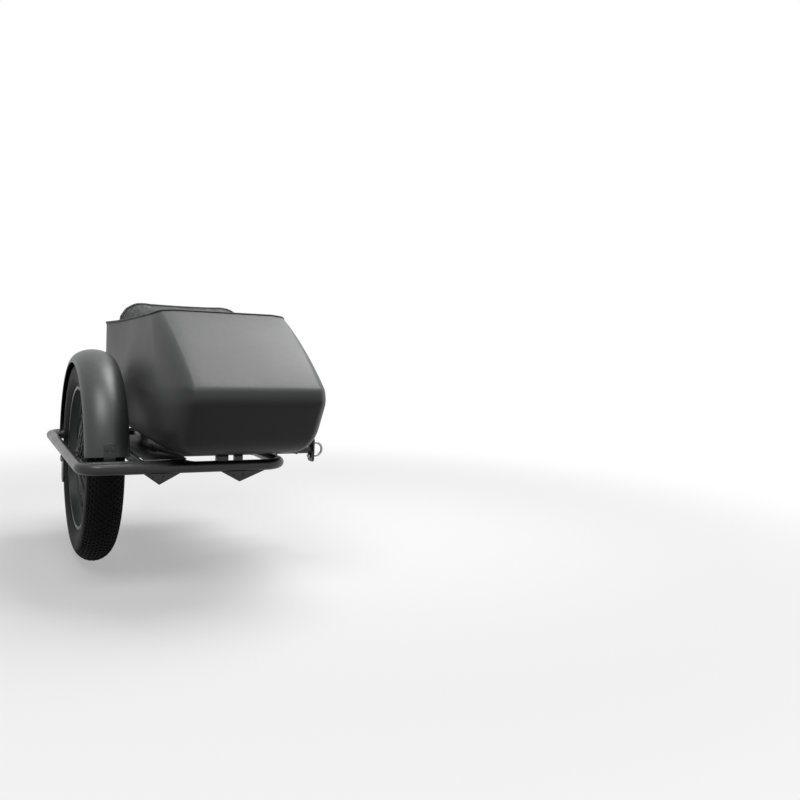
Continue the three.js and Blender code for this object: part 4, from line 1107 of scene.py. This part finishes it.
SECTION_RADIUS = 50
SECTION_CENTRE = WHEEL_RADIUS - SECTION_RADIUS
CASING_WALL = 6.5
BEAD_HALF, BEAD_WALL = 36.7, 6
TREAD_DEGREES, SHOULDER_DEGREES = 66, 4
RIB_BANDS, RIB_HEIGHT = ((104, 108), (122, 126)), 0.9
KNOB_ROWS = (0, 13, 26, 39, 52, 64)
KNOB_ROOT = 0.4
RIM_EDGE, RIM_HALF, RIM_WALL, RIM_BED, RIM_SEAT = 209, 40, 3.0, 191, 203
FLANGE_X, FLANGE_RADIUS, FLANGE_HOLES = 38.0, 33.0, 28.8
HEAD_OUT, ROOT_OUT, SPOKE_BEND, TIP_OUT = 2.8, 2.6, 3, 8
NIPPLE_LENGTH = 13
FENDER_STEPS, ARC_STEPS, LIP_STEPS = 96, 40, 72


def tyre_profile(knob):
    """The tyre's section, (x, radius): tread, ribbed sidewalls, beads and the hollow inside."""
    outer, steps = [], 72
    end = math.pi - math.asin(BEAD_HALF / SECTION_RADIUS)
    edge = TREAD_DEGREES + SHOULDER_DEGREES
    for k in range(steps + 1):
        angle = end - 2 * end * k / steps
        turn = abs(math.degrees(angle))
        radius = SECTION_RADIUS
        if turn < edge:
            radius -= knob * min(1.0, (edge - turn) / SHOULDER_DEGREES)
        elif any(low < turn < high for low, high in RIB_BANDS):
            radius += RIB_HEIGHT
        outer.append((radius * math.sin(angle), SECTION_CENTRE + radius * math.cos(angle)))
    inner, steps = [], 24
    radius = SECTION_RADIUS - CASING_WALL
    end = math.pi - math.asin((BEAD_HALF - BEAD_WALL) / radius)
    for k in range(steps + 1):
        angle = -end + 2 * end * k / steps
        inner.append((radius * math.sin(angle), SECTION_CENTRE + radius * math.cos(angle)))
    foot = RIM_SEAT + 0.3
    left = [(-BEAD_HALF, foot), (BEAD_WALL - BEAD_HALF, foot)]
    right = [(BEAD_HALF - BEAD_WALL, foot), (BEAD_HALF, foot)]
    return [*outer, *left, *inner, *right]


def knob_places(knob):
    """Rows of knobs over the tread, each row set half a pitch on from the next."""
    places = []
    base = SECTION_RADIUS - knob - KNOB_ROOT
    for row, degrees in enumerate(KNOB_ROWS):
        for side in (-1, 1) if degrees else (1,):
            lean = math.radians(degrees * side)
            radius = SECTION_CENTRE + base * math.cos(lean)
            for angle in full_turn(counts().knobs, (row % 2) / 2):
                facing = radial(angle) * math.cos(lean) + ALONG_X * math.sin(lean)
                places.append((around_wheel(base * math.sin(lean), radius, angle), facing, tangent(angle)))
    return places


class SIDECAR_OT_tyre(bpy.types.Operator):
    """Fat tyre with ribbed sidewalls and rows of low knobs"""

    bl_idname = "sidecar.tyre"
    bl_label = "Tyre"

    def execute(self, context):
        knob = sizes().knob_height
        casing = turned("fat_tyre", tyre_profile(knob / MM), counts().wheel_steps)
        paint(casing, "tyre")
        smooth(casing, 60)
        seat(casing, "wheel", "tyre", "tyre")
        size = (sizes().knob_length, sizes().knob_width, knob + KNOB_ROOT * MM)
        block = shape_from(tread_block, size=size, taper=0.82, rounding=0.7 * MM)
        seat(copies("tread_knobs", knob_places(knob / MM), block, "tread", sharp=25), "wheel", "tyre")
        return {"FINISHED"}


def rim_profile():
    """Fat single-wall rim: hooked edges, bead seats and a shallow well."""
    inside = RIM_HALF - RIM_WALL
    side = [(RIM_HALF, RIM_EDGE - 1.2), (RIM_HALF - 0.6, RIM_EDGE), (inside + 0.4, RIM_EDGE)]
    side += [(inside, RIM_EDGE - 1), (inside, RIM_SEAT + 0.4), (inside - 1, RIM_SEAT), (17, RIM_SEAT - 0.8)]
    side += [(15.5, RIM_SEAT - 1.6), (13.5, RIM_SEAT - 5.4), (12, RIM_SEAT - 6)]
    under = [(RIM_HALF, RIM_SEAT - 1.6), (RIM_HALF - 1.4, RIM_SEAT - 3.2), (17, RIM_SEAT - 5.6)]
    under += [(15.6, RIM_SEAT - 6.6), (13.6, RIM_BED + 0.6), (12, RIM_BED)]
    return [*side, *mirrored(reversed(side)), *mirrored(under), *reversed(under)]


def spoke_ends():
    """Each spoke's side and lead, and the angles of its root and its tip, laced three cross."""
    per_side = counts().spokes // 2
    pitch = 2 * math.pi / per_side
    ends = []
    for i in range(counts().spokes):
        side = 1 if i < per_side else -1
        lead = 1 if i % 2 == 0 else -1
        start = (i + 0.25) * pitch + (pitch / 2 if side < 0 else 0)
        ends.append((side, lead, start, start + lead * 3 * pitch))
    return ends


class SIDECAR_OT_rim(bpy.types.Operator):
    """Black rim for a fat tyre"""

    bl_idname = "sidecar.rim"
    bl_label = "Rim"

    def execute(self, context):
        rim = turned("fat_rim", rim_profile(), counts().wheel_steps)
        paint(rim, "rim")
        smooth(rim, 32)
        seat(rim, "wheel", "rim", "rim")
        return {"FINISHED"}


class SIDECAR_OT_spokes(bpy.types.Operator):
    """Hub with two flanges, crossed spokes with bent heads, and nipples"""

    bl_idname = "sidecar.spokes"
    bl_label = "Hub and spokes"

    def execute(self, context):
        edge = FLANGE_RADIUS - 1
        half = [(0, 13.2), (18, 13.4), (28, 15), (33.5, 18), (35.6, 21), (36, edge), (36.8, FLANGE_RADIUS)]
        half += [(39.2, FLANGE_RADIUS), (40, edge), (40.4, 21), (42, 18.4), (45, 18), (60.8, 18), (62, 17)]
        half += [(62, 13.3), (53.4, 13.3), (53.4, 9)]
        hub = turned("hub_shell", [*half, *mirrored(reversed(half[1:]))], 64)
        paint(hub, "rim")
        smooth(hub, 32)
        paths, nipples = [], []
        for side, lead, start, finish in spoke_ends():
            head = around_wheel(side * (FLANGE_X - lead * HEAD_OUT), FLANGE_HOLES, start)
            root = around_wheel(side * (FLANGE_X + lead * ROOT_OUT), FLANGE_HOLES, start)
            tip = around_wheel(side * TIP_OUT, RIM_BED + 2, finish)
            back = (root - tip).normalized()
            paths.append([from_foot(point) for point in (head, root, root - back * SPOKE_BEND * MM, tip)])
            nipples.append((tip + back * NIPPLE_LENGTH * MM, -back, radial(finish)))
        heads = [(spot(*path[0]), ALONG_X, UP) for path in paths]
        seat(hub, "wheel", "rim", "hub_and_spokes")
        for piece in (
            bar("laced_spokes", paths, sizes().spoke_radius, "spoke", sides=8),
            copies("spoke_nipples", nipples, shape_from(spoke_nipple), "steel"),
            copies("spoke_heads", heads, drop(2 * MM), "spoke"),
        ):
            seat(piece, "wheel", "steel")
        return {"FINISHED"}


class SIDECAR_OT_fender(bpy.types.Operator):
    """Deep round fender with a rolled edge along each side"""

    bl_idname = "sidecar.fender"
    bl_label = "Fender"

    def execute(self, context):
        radius, half, deep, wall, lip_radius = 318, 58, 38, 2.5, 2.1
        start = math.radians(8.5)
        sweep = math.pi - 2 * start
        section = []
        for inset, order in ((0, 1), (wall, -1)):
            arc = []
            for k in range(ARC_STEPS + 1):
                turn = math.pi * (k / ARC_STEPS - 0.5)
                arc.append(((half - inset) * math.sin(turn), radius - deep + (deep - inset) * math.cos(turn)))
            section += arc[::order]
        angles = [start + sweep * k / FENDER_STEPS for k in range(FENDER_STEPS + 1)]
        rings = [[wheel_place(x, r, angle) for x, r in section] for angle in angles]
        fender = closed_skin("round_fender", rings)
        paint(fender, "fender")
        smooth(fender, 40)
        seat(fender, "chassis", "fender", "fender")
        x, r = half - 1.4, radius - deep + 0.6
        angles = [start + sweep * k / LIP_STEPS for k in range(LIP_STEPS + 1)]
        lips = [[wheel_place(side * x, r, angle) for angle in angles] for side in (-1, 1)]
        seat(bar("fender_lips", lips, lip_radius * MM, "fender", sides=10), "chassis", "fender")
        return {"FINISHED"}


# Cushions and mat

CUSHIONS = {
    # node: corner radius, heights of the welts, lean, and how far the cover passes the solid's sides and top
    "seat_cushion": (40, (7, 32), 0.0, 0, 0),
    "backrest_cushion": (84, (7, 30), 76.0, 5, 8),
}
STUFFING = {
    "quality": 5, "mass": 0.35, "use_pressure": True, "uniform_pressure_force": 4.0,
    "tension_stiffness": 22, "compression_stiffness": 18, "bending_stiffness": 1.2,
}
STUFFING_FRAMES = 20


def cushion_blank(node, shrink):
    """The node's solid as an even skin, drawn in a little for the stuffing to fill."""
    blank = linked(f"{node}_stuffed", frame["nodes"][node].data.copy())
    face_outwards(blank)
    modifier(blank, "REMESH", mode="VOXEL", voxel_size=0.006, use_smooth_shade=True)
    modifier(blank, "SMOOTH", factor=0.5, iterations=6)
    modifier(blank, "DISPLACE", strength=-shrink, mid_level=0.0)
    return settle(blank)


def mesh_points(piece):
    return np.array([vert.co for vert in piece.data.vertices])


def stuff(blank, cap):
    """Blows the cover up like foam under vinyl, and limits how far a point may move."""
    rest = mesh_points(blank)
    cloth = modifier(blank, "CLOTH")
    for name, value in STUFFING.items():
        setattr(cloth.settings, name, value)
    cloth.settings.effector_weights.gravity = 0.0
    cloth.point_cache.frame_start = 1
    cloth.point_cache.frame_end = STUFFING_FRAMES
    for number in range(1, STUFFING_FRAMES + 1):
        bpy.context.scene.frame_set(number)
    settle(blank)
    bpy.context.scene.frame_set(1)
    moved = mesh_points(blank) - rest
    far = np.linalg.norm(moved, axis=1, keepdims=True)
    kept = rest + moved * np.minimum(1.0, cap / np.maximum(far, 1e-9))
    blank.data.vertices.foreach_set("co", kept.reshape(-1))
    blank.data.update()


def reach(piece, to_pad):
    """The least and the greatest of a piece's points, along the pad's own axes."""
    points = np.array([to_pad @ vert.co for vert in piece.data.vertices])
    return points.min(axis=0), points.max(axis=0)


def fill_out(cover, to_pad, low, high):
    """Stretches the cover to the pad's full size, because stuffing draws its edges in."""
    least, greatest = reach(cover, to_pad)
    from_pad = to_pad.inverted()
    for vert in cover.data.vertices:
        share = (np.array(to_pad @ vert.co) - least) / (greatest - least)
        vert.co = from_pad @ Vector(low + share * (high - low))
    cover.data.update()


def welt_path(cover, from_pad, outline):
    """The outline's points dropped on the cushion's skin, in millimetres from the wheel's foot."""
    skin = BVHTree.FromObject(cover, bpy.context.evaluated_depsgraph_get())
    return [from_foot(skin.find_nearest(from_pad @ Vector(point))[0]) for point in outline]


def rounded_outline(half_x, half_y, radius, steps=10, runs=14):
    """A closed rectangle about the origin with round corners."""
    corners = []
    for quarter, (x, y) in enumerate(((1, 1), (-1, 1), (-1, -1), (1, -1))):
        arc = corner_points(x * (half_x - radius), y * (half_y - radius), radius, radius, quarter, steps)
        corners.append(arc)
    return [*joined_corners(corners, runs), corners[0][0]]


class SIDECAR_OT_cushions(bpy.types.Operator):
    """Stuffed vinyl seat and backrest, each with a welt round its front and back edges"""

    bl_idname = "sidecar.cushions"
    bl_label = "Cushions"

    def execute(self, context):
        for node, (corner, levels, lean, side, top) in CUSHIONS.items():
            from_pad = Matrix.Rotation(math.radians(lean), 4, "X")
            to_pad = from_pad.inverted()
            low, high = reach(frame["nodes"][node], to_pad)
            low = low + np.array((-side, 0, 0)) * MM
            high = high + np.array((side, top, 0)) * MM
            cover = cushion_blank(node, shrink=3 * MM)
            stuff(cover, cap=8 * MM)
            fill_out(cover, to_pad, low, high)
            modifier(cover, "SUBSURF", levels=1, render_levels=1)
            settle(cover)
            paint(cover, "vinyl")
            smooth(cover, 180)
            middle, half = (low + high) / 2, (high - low) / 2
            around = rounded_outline(half[0], half[1], corner * MM)
            paths = []
            for level in levels:
                outline = [(middle[0] + x, middle[1] + y, low[2] + level * MM) for x, y in around]
                paths.append(welt_path(cover, from_pad, outline))
            welt = bar(f"{node}_welt", paths, sizes().piping_radius, "piping", sides=12)
            seat(cover, "chassis", "vinyl", node)
            seat(welt, "chassis", "vinyl")
        return {"FINISHED"}


class SIDECAR_OT_mat(bpy.types.Operator):
    """Ribs across the rubber floor mat"""

    bl_idname = "sidecar.mat"
    bl_label = "Floor mat"

    def execute(self, context):
        low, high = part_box("floor_mat")
        margins = 24 * MM
        ribs = mesh_object("mat_ribs", [(0, 0, 0)], [])
        centre = Vector(((low.x + high.x) / 2, (low.y + high.y) / 2, high.z))
        grow(ribs, "ribs", "rubber", width=high.x - low.x - margins, length=high.y - low.y - margins,
             ribs=counts().mat_ribs, rib_radius=sizes().mat_rib, centre=centre)
        smooth(ribs)
        seat(ribs, "chassis", "rubber")
        return {"FINISHED"}


# Stage, in metres and radians

CAMERA_PLACE = (-1.012, -2.5903, 0.3683)
CAMERA_HEADING, CAMERA_DIP, CAMERA_ROLL = 0.4984, 0.0755, 0.0468
FOCAL_PIXELS, FRAME_PIXELS, SENSOR_WIDTH = 827.6, 800, 36
FLOOR_HEIGHT, FLOOR_HALF = -0.3262, 14.0
FADE_START, FADE_END, FADE_LEAST = 0.8, 2.6, 0.4
PAPER, DIM, WHITE = (0.8, 0.8, 0.8, 1), (0.04, 0.04, 0.04, 1), (1, 1, 1, 1)
ROOM_LIGHT = 0.035


def background_seen(build):
    """1 for the rays that show the background: the camera's, and those off gloss or through glass."""
    path = build.add("ShaderNodeLightPath").outputs
    seen = build.sums("MAXIMUM", path["Is Camera Ray"], path["Is Glossy Ray"])
    return build.sums("MAXIMUM", seen, path["Is Transmission Ray"])


def pale_floor():
    """A floor that fades from shaded paper to the white background, and hardly lights the object."""
    material, build, place = start_material("pale floor")
    away = build.out("ShaderNodeVectorMath", {0: place}, "Value", operation="LENGTH")
    faded = build.remapped(away, FADE_START, FADE_END, FADE_LEAST, interpolation_type="SMOOTHSTEP")
    paper = build.out("ShaderNodeBsdfDiffuse", {"Color": PAPER})
    glow = build.out("ShaderNodeEmission", {"Color": WHITE, "Strength": 1.0})
    shown = build.out("ShaderNodeMixShader", {0: faded, 1: paper, 2: glow})
    dim = build.out("ShaderNodeBsdfDiffuse", {"Color": DIM})
    surface = build.out("ShaderNodeMixShader", {0: background_seen(build), 1: dim, 2: shown})
    build.add("ShaderNodeOutputMaterial", {"Surface": surface})
    return material


def photograph_camera():
    """The camera at the photograph's place and angle."""
    camera = bpy.data.cameras.new("camera")
    camera.sensor_width = SENSOR_WIDTH
    camera.lens = FOCAL_PIXELS * SENSOR_WIDTH / FRAME_PIXELS
    camera.clip_start = 0.05
    heading = Vector((math.sin(CAMERA_HEADING), math.cos(CAMERA_HEADING), 0))
    ahead = heading * math.cos(CAMERA_DIP) - UP * math.sin(CAMERA_DIP)
    level = Vector((heading.y, -heading.x, 0))
    above = level.cross(ahead)
    right = level * math.cos(CAMERA_ROLL) + above * math.sin(CAMERA_ROLL)
    up = above * math.cos(CAMERA_ROLL) - level * math.sin(CAMERA_ROLL)
    view = linked("camera", camera)
    view.matrix_world = Matrix.Translation(CAMERA_PLACE) @ Matrix((right, up, -ahead)).transposed().to_4x4()
    return view


def softbox(name, place, target, side, power):
    lamp = bpy.data.lights.new(name, "AREA")
    lamp.shape = "RECTANGLE"
    lamp.size, lamp.size_y = side, side
    lamp.energy = power
    thing = linked(name, lamp)
    thing.location = place
    thing.rotation_euler = (Vector(target) - Vector(place)).to_track_quat("-Z", "Y").to_euler()


class SIDECAR_OT_stage(bpy.types.Operator):
    """Pale floor, soft lamps and the camera"""

    bl_idname = "sidecar.stage"
    bl_label = "Stage"

    def execute(self, context):
        scene = context.scene
        scene.view_settings.view_transform = "Standard"
        scene.camera = photograph_camera()

        corners = ((-1, -1), (1, -1), (1, 1), (-1, 1))
        points = [(x * FLOOR_HALF, y * FLOOR_HALF, FLOOR_HEIGHT) for x, y in corners]
        floor = mesh_object("floor", points, [range(4)])
        floor.data.materials.append(pale_floor())

        scene.world = bpy.data.worlds.new("studio")
        build = empty_tree(scene.world)
        strength = build.remapped(background_seen(build), 0, 1, ROOM_LIGHT, 1.0)
        glow = build.out("ShaderNodeBackground", {"Color": WHITE, "Strength": strength})
        build.add("ShaderNodeOutputWorld", {"Surface": glow})

        softbox("top_light", place=(0.8, 0.2, 2.4), target=(-0.3, -0.3, 0.3), side=1.8, power=84)
        softbox("front_light", place=(-1.15, -1.5, 2.6), target=(-0.5, -0.3, 0.2), side=1.3, power=34)
        return {"FINISHED"}


# Add-on

PIECE_OPERATORS = (
    SIDECAR_OT_stage,
    SIDECAR_OT_body,
    SIDECAR_OT_trim,
    SIDECAR_OT_tubes,
    SIDECAR_OT_yoke,
    SIDECAR_OT_tyre,
    SIDECAR_OT_rim,
    SIDECAR_OT_spokes,
    SIDECAR_OT_fender,
    SIDECAR_OT_cushions,
    SIDECAR_OT_mat,
    SIDECAR_OT_plates,
    SIDECAR_OT_fasteners,
)
SETTINGS = {
    "sidecar_sizes": SidecarSizes,
    "sidecar_counts": SidecarCounts,
    "sidecar_colours": SidecarColours,
}


class SIDECAR_PT_panel(bpy.types.Panel):
    """Lists the sidecar's settings and pieces"""

    bl_label = "Sidecar"
    bl_idname = "SIDECAR_PT_panel"
    bl_space_type = "VIEW_3D"
    bl_region_type = "UI"
    bl_category = "Sidecar"

    def draw(self, context):
        for title, kind in SETTINGS.items():
            column = self.layout.column(align=True)
            for name in kind.__annotations__:
                column.prop(getattr(context.scene, title), name)
        for piece in PIECE_OPERATORS:
            self.layout.operator(piece.bl_idname)


CLASSES = (*SETTINGS.values(), *PIECE_OPERATORS, SIDECAR_PT_panel)


def register():
    for kind in CLASSES:
        bpy.utils.register_class(kind)
    for name, kind in SETTINGS.items():
        setattr(bpy.types.Scene, name, bpy.props.PointerProperty(type=kind))


def unregister():
    for name in SETTINGS:
        delattr(bpy.types.Scene, name)
    for kind in reversed(CLASSES):
        bpy.utils.unregister_class(kind)


def main():
    register()
    make_materials()
    for piece in PIECE_OPERATORS:
        group, name = piece.bl_idname.split(".")
        getattr(getattr(bpy.ops, group), name)()


if __name__ == "__main__":
    main()
